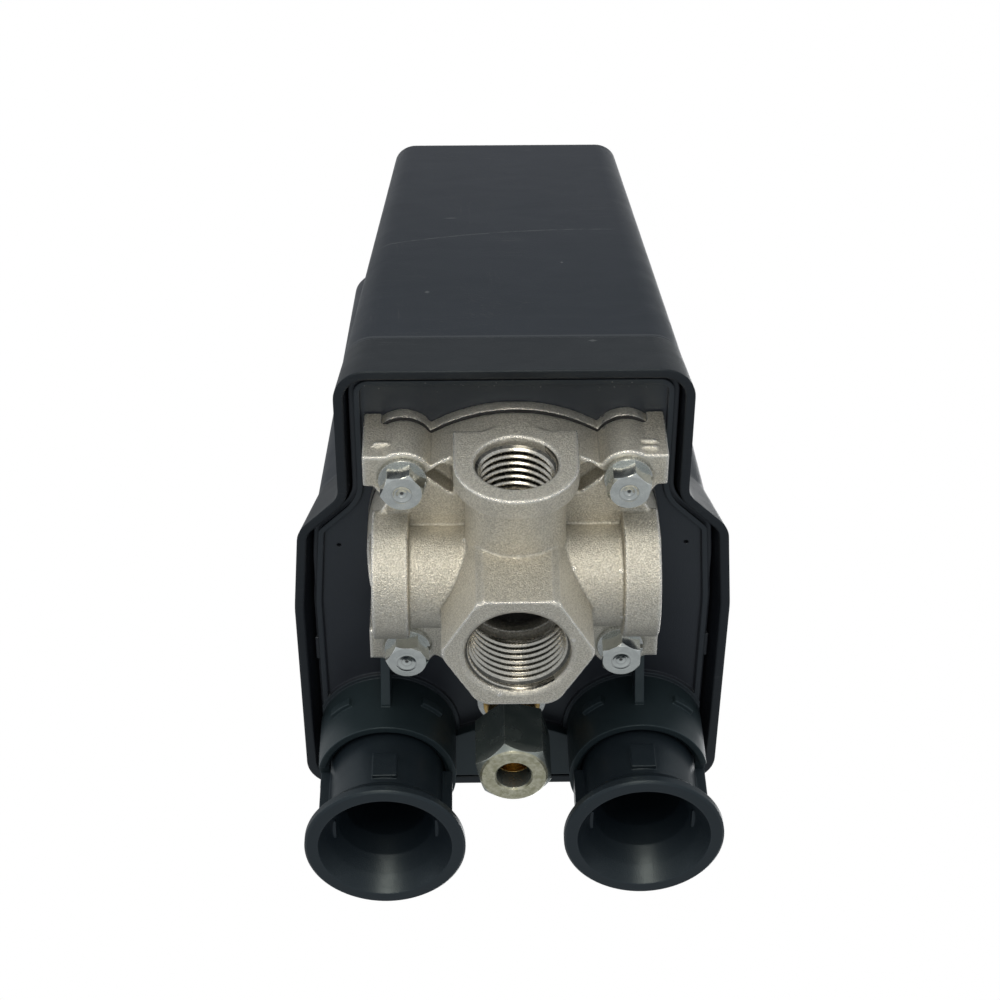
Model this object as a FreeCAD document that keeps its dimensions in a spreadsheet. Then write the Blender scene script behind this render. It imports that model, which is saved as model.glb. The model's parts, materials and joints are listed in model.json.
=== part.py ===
"""Diaphragm pressure switch for an air compressor, modelled as an assembly of named sub-parts.

Frame: +Z is up in use, with the cover on top and the tank port below.  The origin is the centre of the
tank port's face.  -Y is the gauge port's side, +Y the side of the cable glands and the unloader valve.
"""
import FreeCAD, Part
import Sketcher
import math
import os
import re

doc = FreeCAD.newDocument("pressure_switch")
sheet = doc.addObject("Spreadsheet::Sheet", "dims")
vec = FreeCAD.Vector

# Driving dimensions in millimetres, angles in degrees.
DIMENSIONS = {
    # levels along the vertical axis, from the tank port's face upwards
    "cross_level": 19.0, "flange_front": 23.3, "flange_back": 32.4, "diaphragm_thick": 0.6,
    "clamp_ring_thick": 2.5, "floor_level": 35.5, "foot_level": 38.5, "rim_level": 33.0, "crease_level": 44.0,
    "top_level": 110.0,
    # manifold body and its ports
    "tank_flats": 21.6, "tank_thread_rad": 8.33, "tank_mouth_rad": 9.0, "tank_thread_deep": 13.0,
    "tank_relief_rad": 8.7, "tank_bore_rad": 7.7, "hex_corner": 0.7, "passage_rad": 4.2, "port_thread_rad": 6.58,
    "port_mouth_rad": 6.75, "port_clear": 2.0, "port_thread_deep": 11.0, "mouth_chamfer": 0.7, "gauge_face": 23.4,
    "boss_rad": 10.0, "neck_rad": 8.1, "boss_tall": 3.5, "arm_reach": 23.2, "arm_collar_long": 5.9,
    "collar_rad": 10.1, "arm_rad": 8.4, "cheek_tall": 5.0, "boss_cheek_tall": 8.5,
    "chamber_rad": 15.0, "chamber_deep": 2.4,
    # bolted flange stack
    "disc_rad": 24.5, "axis_y": 1.0, "bolt_pitch": 36.2, "lobe_rad": 5.0, "bolt_hole_rad": 2.15,
    "spot_face_rad": 4.15, "spot_face_deep": 0.3, "ear_reach": 24.5, "ear_inner": 18.5, "ear_tall": 6.0,
    "ear_depth": 12.0, "foot_ear_tall": 6.4, "bolt_rad": 1.95, "bolt_head_flats": 6.35, "bolt_head_thick": 3.5,
    "washer_rad": 3.9, "washer_hole_rad": 2.1, "washer_thick": 1.0, "washer_split": 0.9,
    # housing outline at the rim, at the crease and at the top
    "wall": 2.0, "rim_gap": 0.4, "rim_wall": 1.6, "rim_narrow": 29.3, "rim_wide": 37.8, "rim_back": -31.1,
    "rim_front": 62.4, "crease_narrow": 28.0, "crease_wide": 34.1, "crease_back": -30.1, "crease_front": 61.4,
    "shoulder_y": 1.8, "corner_round": 5.5, "top_narrow": 20.4, "top_wide": 29.4, "top_back": -29.2,
    "top_front": 58.0, "top_round": 1.6,
    # base details
    "socket_x": 22.4, "socket_y": 49.4, "socket_rad": 12.3, "socket_bore_rad": 10.4, "socket_front": 21.9,
    "socket_seat": 33.0, "cable_hole_rad": 8.0, "rib_thick": 1.6, "rib_start_y": 23.2, "rib_end_level": 27.2,
    "land_round": 22.0, "land_peak_y": 47.8, "notch_wide": 5.0, "notch_deep": 3.2, "pin_hole_rad": 0.4,
    "pin_hole_x": 29.7, "pin_hole_y": 6.8, "slot_x": 34.6, "slot_wide": 0.8, "lug_wide": 2.2,
    # cable bushings
    "bell_rad": 13.9, "bell_front_left": 4.9, "bell_front_right": 6.5, "bell_inner_rad": 11.6, "bell_edge": 1.6,
    "bell_long": 6.0, "sleeve_rad": 10.1, "throat_rad": 7.2, "throat_long": 10.0, "sleeve_back_gap": 7.8,
    "seal_rad": 10.3, "seal_hole_rad": 6.6, "seal_thick": 5.2, "thrust_thick": 1.4,
    # unloader valve
    "valve_y": 43.0, "nut_front": 15.5, "nut_flats": 12.0, "nut_long": 12.0, "nut_face_rad": 5.6,
    "tube_rad": 3.05, "valve_body_rad": 4.4, "valve_hole_rad": 4.6, "valve_ring_rad": 6.2, "valve_ring_thick": 0.9,
    "valve_bore_rad": 2.6, "valve_top": 42.4, "valve_nut_flats": 13.0, "valve_nut_thick": 2.6,
    "stem_rad": 1.25, "stem_head_rad": 2.2, "stem_top": 46.1, "stem_low": 34.5, "valve_spring_low": 31.6,
    "valve_spring_rad": 1.9, "valve_wire_rad": 0.25,
    # plunger, lever and springs
    "plunger_disc_rad": 12.4, "plunger_disc_thick": 3.0, "plunger_stem_rad": 5.0, "plunger_top": 46.0,
    "guide_bore_rad": 12.7, "lever_low": 46.3, "lever_thick": 3.0, "lever_pivot_y": 15.0, "lever_half": 11.0,
    "tongue_half": 4.6, "lever_back_y": -9.0, "lever_front_y": 49.0, "hub_rad": 3.4, "pin_rad": 1.75,
    "pin_half": 18.4, "spring_seat_rad": 9.8, "spring_rad": 7.9, "spring_wire_rad": 1.3, "spring_low": 52.6,
    "spring_high": 82.0, "range_screw_rad": 2.95, "range_head_flats": 10.0, "seat_plate_thick": 3.0,
    "trim_y": 27.0, "trim_spring_rad": 3.4, "trim_wire_rad": 0.5, "trim_low": 49.4, "trim_high": 61.6,
    "trim_screw_rad": 1.95, "trim_head_rad": 3.4,
    # yoke
    "foot_half_x": 23.0, "foot_back": -21.5, "foot_front": 23.6, "foot_thick": 2.5, "cheek_inner": 14.6,
    "cheek_thick": 1.8, "cheek_back": -8.0, "cheek_front": 20.0, "bridge_low": 88.0, "bridge_thick": 2.5,
    "post_y": -11.0, "post_flats": 7.0, "post_top": 107.6,
    # switching parts
    "block_half": 24.0, "block_back": 37.0, "block_front": 56.6, "block_low": 60.0, "block_high": 79.0,
    "pole_pitch": 16.0, "channel_wide": 9.0, "channel_high": 66.0, "strip_thick": 1.2, "terminal_back": 41.4,
    "terminal_front": 52.0, "terminal_well_rad": 3.9, "terminal_rad": 3.4, "terminal_shank_rad": 1.45,
    "carrier_y": 46.7,
    # knob
    "knob_y": 30.0, "knob_rad": 10.5, "knob_tall": 8.0, "knob_shaft_rad": 4.0, "cam_rad": 6.5,
    "cam_low": 86.0, "cam_thick": 4.0, "rod_y": 34.5, "rod_half": 1.6, "rod_low": 51.9, "rod_travel": 2.0,
    "earth_x": -26.6, "earth_y": 22.0,
}

for row, (alias, value) in enumerate(DIMENSIONS.items(), start=1):
    sheet.set("A%d" % row, alias)
    sheet.set("B%d" % row, str(value))
    sheet.setAlias("B%d" % row, alias)
doc.recompute()


def bound(text):
    """Write a formula's dimension names as references to the sheet's cells."""
    return re.sub(r"[a-z][a-z_]*", lambda m: "dims." + m[0] if m[0] in DIMENSIONS else m[0], str(text))


def size(name):
    """A dimension's number, read back from the sheet."""
    return float(sheet.get(name))


def bind(thing, **formulas):
    """Bind properties of a document object to formulas of the sheet's cells."""
    for prop, text in formulas.items():
        thing.setExpression(prop.replace("__", "."), bound(text))
    return thing


def place(thing, x=0, y=0, z=0, axis=(0, 0, 1), angle=0):
    """Turn a thing about an axis through its own origin, and bind where that origin goes."""
    thing.Placement = FreeCAD.Placement(vec(0, 0, 0), FreeCAD.Rotation(vec(*axis), angle))
    return bind(thing, Placement__Base__x=x, Placement__Base__y=y, Placement__Base__z=z)


TURN_TO = {"x": ((0, 1, 0), 90), "y": ((1, 0, 0), -90), "z": ((0, 0, 1), 0)}


def rod(radius, length, x=0, y=0, z=0, along="z"):
    """A cylinder that starts at a point and runs along +X, +Y or +Z."""
    thing = bind(doc.addObject("Part::Cylinder", "Rod"), Radius=radius, Height=length)
    return place(thing, x, y, z, *TURN_TO[along])


def taper(start_radius, end_radius, length, x=0, y=0, z=0, along="z"):
    """A cone whose first radius is at its start point."""
    thing = bind(doc.addObject("Part::Cone", "Taper"), Radius1=start_radius, Radius2=end_radius,
            Height=length)
    return place(thing, x, y, z, *TURN_TO[along])


def block(low, high):
    """A box between two corners."""
    thing = doc.addObject("Part::Box", "Block")
    spans = ["(%s) - (%s)" % (b, a) for a, b in zip(low, high)]
    bind(thing, Length=spans[0], Width=spans[1], Height=spans[2])
    return place(thing, *low)


def hexagon(flats, length, x=0, y=0, z=0, angle=0):
    """A hexagonal bar along +Z, with a corner on the +X side when the angle is 0."""
    thing = doc.addObject("Part::Prism", "Hexagon")
    thing.Polygon = 6
    bind(thing, Circumradius="(%s) / 2 / cos(30)" % flats, Height=length)
    return place(thing, x, y, z, (0, 0, 1), angle)


def ring(outer, inner, length, x=0, y=0, z=0, along="z"):
    return cut(rod(outer, length, x, y, z, along), rod(inner, length, x, y, z, along))


def fuse(*things):
    if len(things) == 1:
        return things[0]
    thing = doc.addObject("Part::MultiFuse", "Fusion")
    thing.Shapes = list(things)
    thing.Refine = True
    return thing


def cut(base, *tools):
    thing = doc.addObject("Part::Cut", "Cut")
    thing.Base = base
    thing.Tool = fuse(*tools)
    thing.Refine = True
    return thing


def common(first, second):
    thing = doc.addObject("Part::MultiCommon", "Common")
    thing.Shapes = [first, second]
    return thing


def group(*things):
    """Several separate solids that are one node, such as a set of screws."""
    thing = doc.addObject("Part::Compound", "Group")
    thing.Links = list(things)
    return thing


NODES = []


def node(name, thing):
    """Give a finished sub-part its name."""
    thing.Label = name
    NODES.append(thing)
    return thing


def feature(shape):
    """A shape made with Part's own functions, for forms that no primitive or sketch gives."""
    thing = doc.addObject("Part::Feature", "Form")
    thing.Shape = shape
    return thing


def plane_of(body, role):
    return next(f for f in body.Origin.OriginFeatures if f.Role == role)


def profile(body, role, corners, level=0):
    """A closed sketch of straight lines whose corners are bound to formulas in the sheet."""
    sketch = body.newObject("Sketcher::SketchObject", "Outline")
    sketch.AttachmentSupport = (plane_of(body, role), "")
    sketch.MapMode = "FlatFace"
    sketch.setExpression("AttachmentOffset.Base.z", bound(level))
    count = len(corners)
    turns = [2 * math.pi * i / count for i in range(count)]
    points = [vec(10 * math.cos(turn), 10 * math.sin(turn), 0) for turn in turns]
    lines = [Part.LineSegment(points[i], points[(i + 1) % count]) for i in range(count)]
    sketch.addGeometry(lines, False)
    for i in range(count):
        sketch.addConstraint(Sketcher.Constraint("Coincident", i, 2, (i + 1) % count, 1))
    for i, corner in enumerate(corners):
        for kind, text, number in zip(("DistanceX", "DistanceY"), corner, points[i]):
            rule = sketch.addConstraint(Sketcher.Constraint(kind, -1, 1, i, 1, number))
            sketch.setExpression("Constraints[%d]" % rule, bound(text))
    return sketch


def turned(corners, x=0, y=0):
    """A piece turned about a vertical axis, from its half profile of (radius, level) corners."""
    body = doc.addObject("PartDesign::Body", "Turned")
    sketch = profile(body, "XZ_Plane", corners)
    turn = body.newObject("PartDesign::Revolution", "Revolve")
    turn.Profile = sketch
    turn.ReferenceAxis = (sketch, ["V_Axis"])
    turn.Angle = 360
    body.Tip = turn
    return place(body, x, y, 0)


def plate(corners, low, high):
    """A plate between two levels, from its plan outline of (x, y) corners."""
    body = doc.addObject("PartDesign::Body", "Plate")
    sketch = profile(body, "XY_Plane", corners, low)
    pad = body.newObject("PartDesign::Pad", "Pad")
    pad.Profile = sketch
    bind(pad, Length="(%s) - (%s)" % (high, low))
    body.Tip = pad
    return body


# ---- manifold and the bolted flange stack ----------------------------------------------------------

BOLT_SIDES = [(-1, -1), (1, -1), (-1, 1), (1, 1)]
HEAD_TURNS = [49, 44, 0, 30]  # how far each bolt head happens to be turned, in degrees


def bolt_place(side_x, side_y):
    """Plan position of one flange bolt, as formulas."""
    return "%d * bolt_pitch / 2" % side_x, "axis_y + %d * bolt_pitch / 2" % side_y


def flange_outline(low, thick):
    """The round diaphragm flange with a lobe at each bolt."""
    lobes = [rod("lobe_rad", thick, *bolt_place(*side), low) for side in BOLT_SIDES]
    return fuse(rod("disc_rad", thick, 0, "axis_y", low), *lobes)


def bolt_holes(radius, low, thick):
    return [rod(radius, thick, *bolt_place(*side), low) for side in BOLT_SIDES]


def threaded_port(direction, reach, along):
    """Tools for one G1/4 side opening: the thread, its chamfered mouth and the drilling behind it.

    The flange stands out a little past the opening's face, so the mouth is also cleared outwards.
    """
    thread = "port_thread_deep"
    mouth = ("port_mouth_rad", "port_thread_rad", "mouth_chamfer")
    if direction > 0:
        near, drill, edge = "%s - %s" % (reach, thread), "0", "%s - mouth_chamfer" % reach
        outside = reach
        mouth = (mouth[1], mouth[0], mouth[2])
    else:
        near, drill, edge = "-(%s)" % reach, "-(%s)" % reach, "-(%s)" % reach
        outside = "-(%s) - port_clear" % reach
    spot = {"x": lambda v: (v, 0, "cross_level"), "y": lambda v: (0, v, "cross_level")}[along]
    return [rod("port_thread_rad", thread, *spot(near), along),
            rod("passage_rad", reach, *spot(drill), along),
            rod("port_mouth_rad", "port_clear", *spot(outside), along),
            taper(*mouth, *spot(edge), along)]


def make_manifold():
    """Cast body: hexagonal tank port below, gauge port at the back and a port in each arm."""
    level = "cross_level"
    parts = [flange_outline("flange_front", "flange_back - flange_front")]
    tank = hexagon("tank_flats", "flange_front + 1", 0, 0, 0)
    corner_trim = taper("tank_flats / 2 / cos(30) - hex_corner", "tank_flats / 2 / cos(30) + 4", 5)
    bar = rod("tank_flats / 2 / cos(30) - 0.35", "flange_front + 1")
    parts.append(common(tank, common(bar, fuse(corner_trim, rod(20, "flange_front", 0, 0, 5)))))
    parts.append(rod("boss_rad", "boss_tall", 0, "-gauge_face", level, "y"))
    parts.append(taper("boss_rad", "neck_rad", 1.2, 0, "boss_tall - gauge_face", level, "y"))
    parts.append(rod("neck_rad", "gauge_face - 4", 0, "-gauge_face + 1", level, "y"))
    parts.append(block(("-boss_rad", "-gauge_face", level),
                       ("boss_rad", "boss_tall - gauge_face", "cross_level + boss_cheek_tall")))
    for side in (-1, 1):
        start = "-arm_reach" if side < 0 else "0"
        collar = "-arm_reach" if side < 0 else "arm_reach - arm_collar_long"
        parts.append(rod("arm_rad", "arm_reach", start, 0, level, "x"))
        parts.append(rod("collar_rad", "arm_collar_long", collar, 0, level, "x"))
        parts.append(block((collar, "-collar_rad", level),
                           (collar + " + arm_collar_long", "collar_rad", "cross_level + cheek_tall")))
    for side in (-1, 1):
        parts.append(make_ear(side, "-22.3 + axis_y", "-22.3 + axis_y + ear_tall",
                "flange_front + ear_depth"))
        parts.append(make_ear(side, "22 - foot_ear_tall", "22", "flange_back"))
    parts.append(block(("-3", "10", "flange_front - 3"), ("3", "17", "flange_back")))
    body = fuse(*parts)
    tools = threaded_port(-1, "gauge_face", "y") + threaded_port(-1, "arm_reach", "x")
    tools += threaded_port(1, "arm_reach", "x")
    tools += [rod("tank_thread_rad", "tank_thread_deep"), rod("passage_rad", "flange_back"),
              rod("tank_relief_rad", 1.6, 0, 0, "tank_thread_deep - 0.6"),
              rod("tank_bore_rad", 2.5, 0, 0, "tank_thread_deep + 0.9"),
              taper("tank_bore_rad", "passage_rad", 2.4, 0, 0, "tank_thread_deep + 3.4"),
              taper("tank_mouth_rad", "tank_thread_rad", "mouth_chamfer / 2")]
    tools.append(rod("chamber_rad", "chamber_deep", 0, "axis_y", "flange_back - chamber_deep"))
    tools += bolt_holes("bolt_hole_rad", "flange_front - 4", 20)
    for side in BOLT_SIDES:
        tools.append(rod("spot_face_rad", "spot_face_deep + 4", *bolt_place(*side), "flange_front - 4"))
        tools.append(rod("lobe_rad + 0.3", 6, *bolt_place(*side), "flange_back"))
    for side in (-1, 1):
        tools.append(make_pocket(side))
    return node("manifold", cut(body, *tools))


def make_ear(side, back, front, top):
    """A square locating ear on the side of the flange."""
    inner, outer = ("ear_inner", "ear_reach") if side > 0 else ("-ear_reach", "-ear_inner")
    return block((inner, back, "flange_front"), (outer, front, top))


def make_pocket(side):
    """The weight-saving recess between a back lobe and the gauge port's boss."""
    corners = [(-14.6, -17.6), (-11.8, -19.9), (-10.0, -19.2), (-10.0, -13.6)]
    if side > 0:
        corners = [(-x, y) for x, y in reversed(corners)]
    return plate(corners, "flange_front - 1", "flange_front + 3.6")


def make_bolts():
    """Four hexagon-headed screws that clamp the manifold, diaphragm, ring, base and yoke together."""
    screws = []
    seat = "flange_front + spot_face_deep - washer_thick"
    for index, side in enumerate(BOLT_SIDES):
        x, y = bolt_place(*side)
        face = "%s - bolt_head_thick" % seat
        head = hexagon("bolt_head_flats", "bolt_head_thick", x, y, face, HEAD_TURNS[index])
        crown = taper("bolt_head_flats / 2", "bolt_head_flats / 2 + bolt_head_thick", "bolt_head_thick",
                x, y, face)
        dimple = taper(1.5, 0.3, 0.35, x, y, face)
        shank = rod("bolt_rad", "foot_level + foot_thick + 2.5 - (%s)" % seat, x, y, seat)
        screws.append(cut(fuse(common(head, crown), shank), dimple))
    return node("flange_bolts", group(*screws))


def make_washers():
    """Split spring washers under the bolt heads."""
    washers = []
    seat = "flange_front + spot_face_deep - washer_thick"
    for side in BOLT_SIDES:
        x, y = bolt_place(*side)
        split = block((x, "%s - washer_split / 2" % y, seat),
                      ("%s + 6" % x, "%s + washer_split / 2" % y, "flange_front + 1"))
        washers.append(cut(ring("washer_rad", "washer_hole_rad", "washer_thick", x, y, seat), split))
    return node("spring_washers", group(*washers))


def make_diaphragm():
    """Rubber sheet that seals the pressure chamber and pushes the plunger."""
    sheet_body = flange_outline("flange_back", "diaphragm_thick")
    return node("diaphragm", cut(sheet_body, *bolt_holes("bolt_hole_rad", "flange_back - 1", 3)))


def make_clamp_ring():
    """Metal ring above the diaphragm, with the plunger's guide bore."""
    low = "flange_back + diaphragm_thick"
    plate_body = flange_outline(low, "clamp_ring_thick")
    ears = [block(("%d * 50 - 27.6" % k, "-24", low), ("%d * 50 - 22.4" % k, "-14.5",
            "floor_level")) for k in (0, 1)]
    bore = rod("guide_bore_rad", 6, 0, "axis_y", "flange_back")
    return node("diaphragm_ring", cut(plate_body, bore, *ears, *bolt_holes("bolt_hole_rad", "flange_back",
            6)))


def make_plunger():
    """Piston that the diaphragm lifts, with the stem that pushes the lever."""
    low = "flange_back + diaphragm_thick + 0.05"
    disc = low + " + plunger_disc_thick"
    corners = [(0, low), ("plunger_disc_rad", low), ("plunger_disc_rad", disc), ("plunger_stem_rad + 1.5",
            disc),
               ("plunger_stem_rad", disc + " + 1.5"), ("plunger_stem_rad", "plunger_top - 1.5"),
               ("plunger_stem_rad - 1.5", "plunger_top"), (0, "plunger_top")]
    return node("plunger", turned(corners, y="axis_y"))


# ---- housing ---------------------------------------------------------------------------------------

def half_outline(narrow, wide, back, front, bulge):
    """Plan corners of the housing's +X half: (x, y, corner radius), from the back to the front."""
    step = wide - bulge - narrow
    shoulder = size("shoulder_y")
    return [(narrow, back, size("corner_round") * narrow / size("rim_narrow")), (narrow, shoulder - step,
            4.0),
            (wide - bulge, shoulder, 5.0), (wide, shoulder + 17, 30.0), (wide - 0.3, front, 6.0)]


def shifted(corners, distance):
    """Move a closed outline's sides inwards and return its new corners."""
    count = len(corners)
    sides = []
    for i in range(count):
        start, end = vec(*corners[i][:2], 0), vec(*corners[(i + 1) % count][:2], 0)
        along = (end - start).normalize()
        inward = vec(-along.y, along.x, 0)
        sides.append((start + inward * distance, along))
    moved = []
    for i in range(count):
        (p, u), (q, v) = sides[i - 1], sides[i]
        cross = u.x * v.y - u.y * v.x
        gap = q - p
        reach = (gap.x * v.y - gap.y * v.x) / cross
        point = p + u * reach
        convex = cross > 0
        moved.append((point.x, point.y, max(corners[i][2] + (-distance if convex else distance), 0.6)))
    return moved


def outline_wire(corners, level):
    """A closed wire with an arc at every corner of an outline."""
    count = len(corners)
    arcs = []
    for i in range(count):
        before, corner, after = (vec(*corners[k % count][:2], level) for k in (i - 1, i, i + 1))
        back, ahead = (before - corner).normalize(), (after - corner).normalize()
        half = back.getAngle(ahead) / 2
        trim = corners[i][2] / math.tan(half)
        middle = (back + ahead).normalize() * (corners[i][2] / math.sin(half) - corners[i][2])
        arcs.append(Part.Arc(corner + back * trim, corner + middle, corner + ahead * trim))
    edges = []
    for i, arc in enumerate(arcs):
        edges.append(arc.toShape())
        edges.append(Part.LineSegment(arc.EndPoint, arcs[(i + 1) % count].StartPoint).toShape())
    return Part.Wire(edges)


def housing_outline(where, inset=0.0):
    """The housing's whole plan outline at the rim, the crease or the top, drawn inwards by an inset."""
    bulge = {"rim": 1.3, "crease": 0.6, "top": 0.4}[where]
    half = half_outline(*(size("%s_%s" % (where, part)) for part in ("narrow", "wide", "back", "front")),
            bulge)
    whole = half + [(-x, y, turn) for x, y, turn in reversed(half)]
    return shifted(whole, inset) if inset else whole


def between(lower, low, upper, high):
    """A solid whose outline changes evenly from one level to another."""
    return Part.makeLoft([outline_wire(lower, low), outline_wire(upper, high)], True, True)


def blend(lower, upper, part):
    """The outline a given part of the way from one outline to another."""
    return [tuple(a + (b - a) * part for a, b in zip(p, q)) for p, q in zip(lower, upper)]


def inside_skirt(level, gap):
    """The plan outline that stands a gap inside the cover's skirt at a level."""
    part = (level - size("rim_level")) / (size("crease_level") - size("rim_level"))
    return shifted(blend(housing_outline("rim", size("rim_wall")), housing_outline("crease",
            size("wall")), part), gap)


def make_cover():
    """Plastic hood with a flared skirt; it stands over the whole mechanism."""
    rim, crease, top = size("rim_level"), size("crease_level"), size("top_level")
    wall = size("wall")
    skirt = between(housing_outline("rim"), rim, housing_outline("crease"), crease)
    edge = top - size("top_round")
    part_up = (edge - crease) / (top - crease)
    shoulder = blend(housing_outline("crease"), housing_outline("top"), part_up)
    tower = between(housing_outline("crease"), crease, shoulder, edge)
    rounds = [(0.30, 0.16), (0.62, 0.42), (0.87, 0.74), (1.0, 1.0)]
    crown, below, low = [], shoulder, edge
    for rise, inset in rounds:
        above, high = shifted(shoulder, inset * size("top_round") * 0.9), edge + rise * size("top_round")
        crown.append(between(below, low, above, high))
        below, low = above, high
    outer = skirt.fuse([tower] + crown)
    inner_skirt = between(housing_outline("rim", size("rim_wall")), rim, housing_outline("crease", wall),
            crease)
    inner_tower = between(housing_outline("crease", wall), crease, shifted(shoulder, wall), top - wall)
    hollow = inner_skirt.fuse([inner_tower])
    knob_hole = Part.makeCylinder(size("knob_shaft_rad") + 0.4, 10, vec(0, size("knob_y"), top - 6))
    screw_hole = Part.makeCylinder(size("bolt_rad") + 0.25, 10, vec(0, size("post_y"), top - 6))
    shell = outer.cut(hollow).cut(knob_hole.fuse([screw_hole]))
    return node("cover", feature(shell))


def socket_place(side):
    return side * size("socket_x"), size("socket_y")


def make_base():
    """Plastic floor of the housing, with a socket for each cable bushing and a land at the front."""
    front, level, gap = size("floor_level"), size("foot_level"), size("rim_gap")
    top, lip = size("crease_level"), gap + 1.5
    tray = between(inside_skirt(front, gap), front, inside_skirt(top, gap), top)
    room = between(inside_skirt(level, lip), level, inside_skirt(top + 1, lip), top + 1)
    outer, inner = gap + 0.9, gap + 1.9
    border = between(inside_skirt(front - 0.7, outer), front - 0.7, inside_skirt(front + 0.5, outer),
            front + 0.5)
    within = between(inside_skirt(front - 1, inner), front - 1, inside_skirt(front + 1, inner), front + 1)
    parts = [border.cut(within)]
    clear = size("rim_level") - gap
    within_skirt = between(inside_skirt(clear, gap + 0.3), clear, inside_skirt(level, gap + 0.3), level)
    tools = []
    for side in (-1, 1):
        x, y = socket_place(side)
        parts.append(Part.makeCylinder(size("socket_rad"), clear - size("socket_front"),
                                       vec(x, y, size("socket_front"))))
        root = Part.makeCylinder(size("socket_rad"), front + 0.5 - clear, vec(x, y, clear))
        fillet = Part.makeCylinder(size("socket_rad") + 0.7, 1.0, vec(x, y, front - 0.8))
        parts.append(root.fuse(fillet).common(within_skirt))
        tools.append(Part.makeCylinder(size("socket_bore_rad"),
                size("socket_seat") - size("socket_front") + 1,
                                       vec(x, y, size("socket_front") - 1)))
        tools.append(Part.makeCylinder(size("cable_hole_rad"), 20, vec(x, y, front - 8)))
        tools.append(Part.makeCone(size("socket_bore_rad") + 0.8, size("socket_bore_rad") - 0.2, 1.0,
                                   vec(x, y, size("socket_front"))))
        notch = Part.makeBox(6, size("notch_wide"), size("notch_deep") + 1,
                             vec(x + side * (size("socket_rad") - 1) - 3, y - size("notch_wide") / 2,
                                 size("socket_front") - 1))
        tools.append(notch)
        parts.append(make_rib(side))
        for turn in (50, 130):
            parts.append(make_socket_lug(side, turn))
    parts.append(make_land())
    for side_x, side_y in BOLT_SIDES:
        x, y = side_x * size("bolt_pitch") / 2, size("axis_y") + side_y * size("bolt_pitch") / 2
        tools.append(Part.makeCylinder(size("bolt_hole_rad"), 12, vec(x, y, front - 3)))
    tools.append(Part.makeCylinder(size("guide_bore_rad") + 0.3, 12, vec(0, size("axis_y"), front - 3)))
    tools.append(Part.makeCylinder(size("valve_hole_rad"), 12, vec(0, size("valve_y"), front - 5)))
    tools.append(Part.makeCylinder(size("valve_ring_rad") + 0.4, 4, vec(0, size("valve_y"), front - 4)))
    tools.append(Part.makeCylinder(size("bolt_rad") + 0.05, 2.6, vec(size("earth_x"), size("earth_y"),
            level - 2.5)))
    for side in (-1, 1):
        x = side * size("pin_hole_x")
        tools.append(Part.makeCylinder(size("pin_hole_rad"), 1.2, vec(x, size("pin_hole_y"),
                front - 0.1)))
        for start, long in ((9.0, 19.0), (33.0, 17.0)):
            wide = size("slot_wide")
            tools.append(Part.makeBox(wide, long, 1.6, vec(side * size("slot_x") - wide / 2, start,
                    front - 0.9)))
    posts = [Part.makeBox(4, 5, size("block_low") - level + 0.5, vec(side * 10 - 2, 51, level - 0.5))
             for side in (-1, 1)]
    solid = tray.cut(room).fuse(parts + posts)
    return node("base", feature(solid.cut(tools[0].fuse(tools[1:])).removeSplitter()))


def make_rib(side):
    """Thin web that braces a socket against the floor."""
    x, y = socket_place(side)
    half = size("rib_thick") / 2
    crest = y - size("socket_rad")
    front, end = size("floor_level"), size("rib_end_level")
    corners = [vec(x - half, size("rib_start_y"), front + 0.4), vec(x - half, size("rib_start_y"),
            front - 1.5),
               vec(x - half, crest - 0.4, end), vec(x - half, crest + 1, end), vec(x - half, crest + 1,
                       front + 0.4)]
    face = Part.Face(Part.makePolygon(corners + corners[:1]))
    return face.extrude(vec(size("rib_thick"), 0, 0))


def make_socket_lug(side, turn):
    """Small curved stop on a socket's outside, at a turn in degrees from +X towards -Y."""
    x, y = socket_place(side)
    ring_wall = Part.makeCylinder(size("socket_rad") + 0.8, 1.6, vec(x, y, 29.0))
    angle = math.radians(-turn)
    middle = vec(x + size("socket_rad") * math.cos(angle), y + size("socket_rad") * math.sin(angle), 28)
    return ring_wall.common(Part.makeCylinder(size("lug_wide"), 4, middle))


def make_land():
    """Raised land round the unloader valve's front side, bounded behind by a shallow arc."""
    front = size("floor_level")
    disc = Part.makeCylinder(size("land_round"), front + 0.5 - size("rim_level"),
                             vec(0, size("land_peak_y") + size("land_round"), size("rim_level")))
    room = Part.makeBox(40, 30, 10, vec(-20, size("land_peak_y") - 1, size("rim_level") - 1))
    edge = between(inside_skirt(size("rim_level"), 0.5), size("rim_level"), inside_skirt(front + 0.5,
            0.5), front + 0.5)
    return disc.common(room).common(edge)


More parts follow.
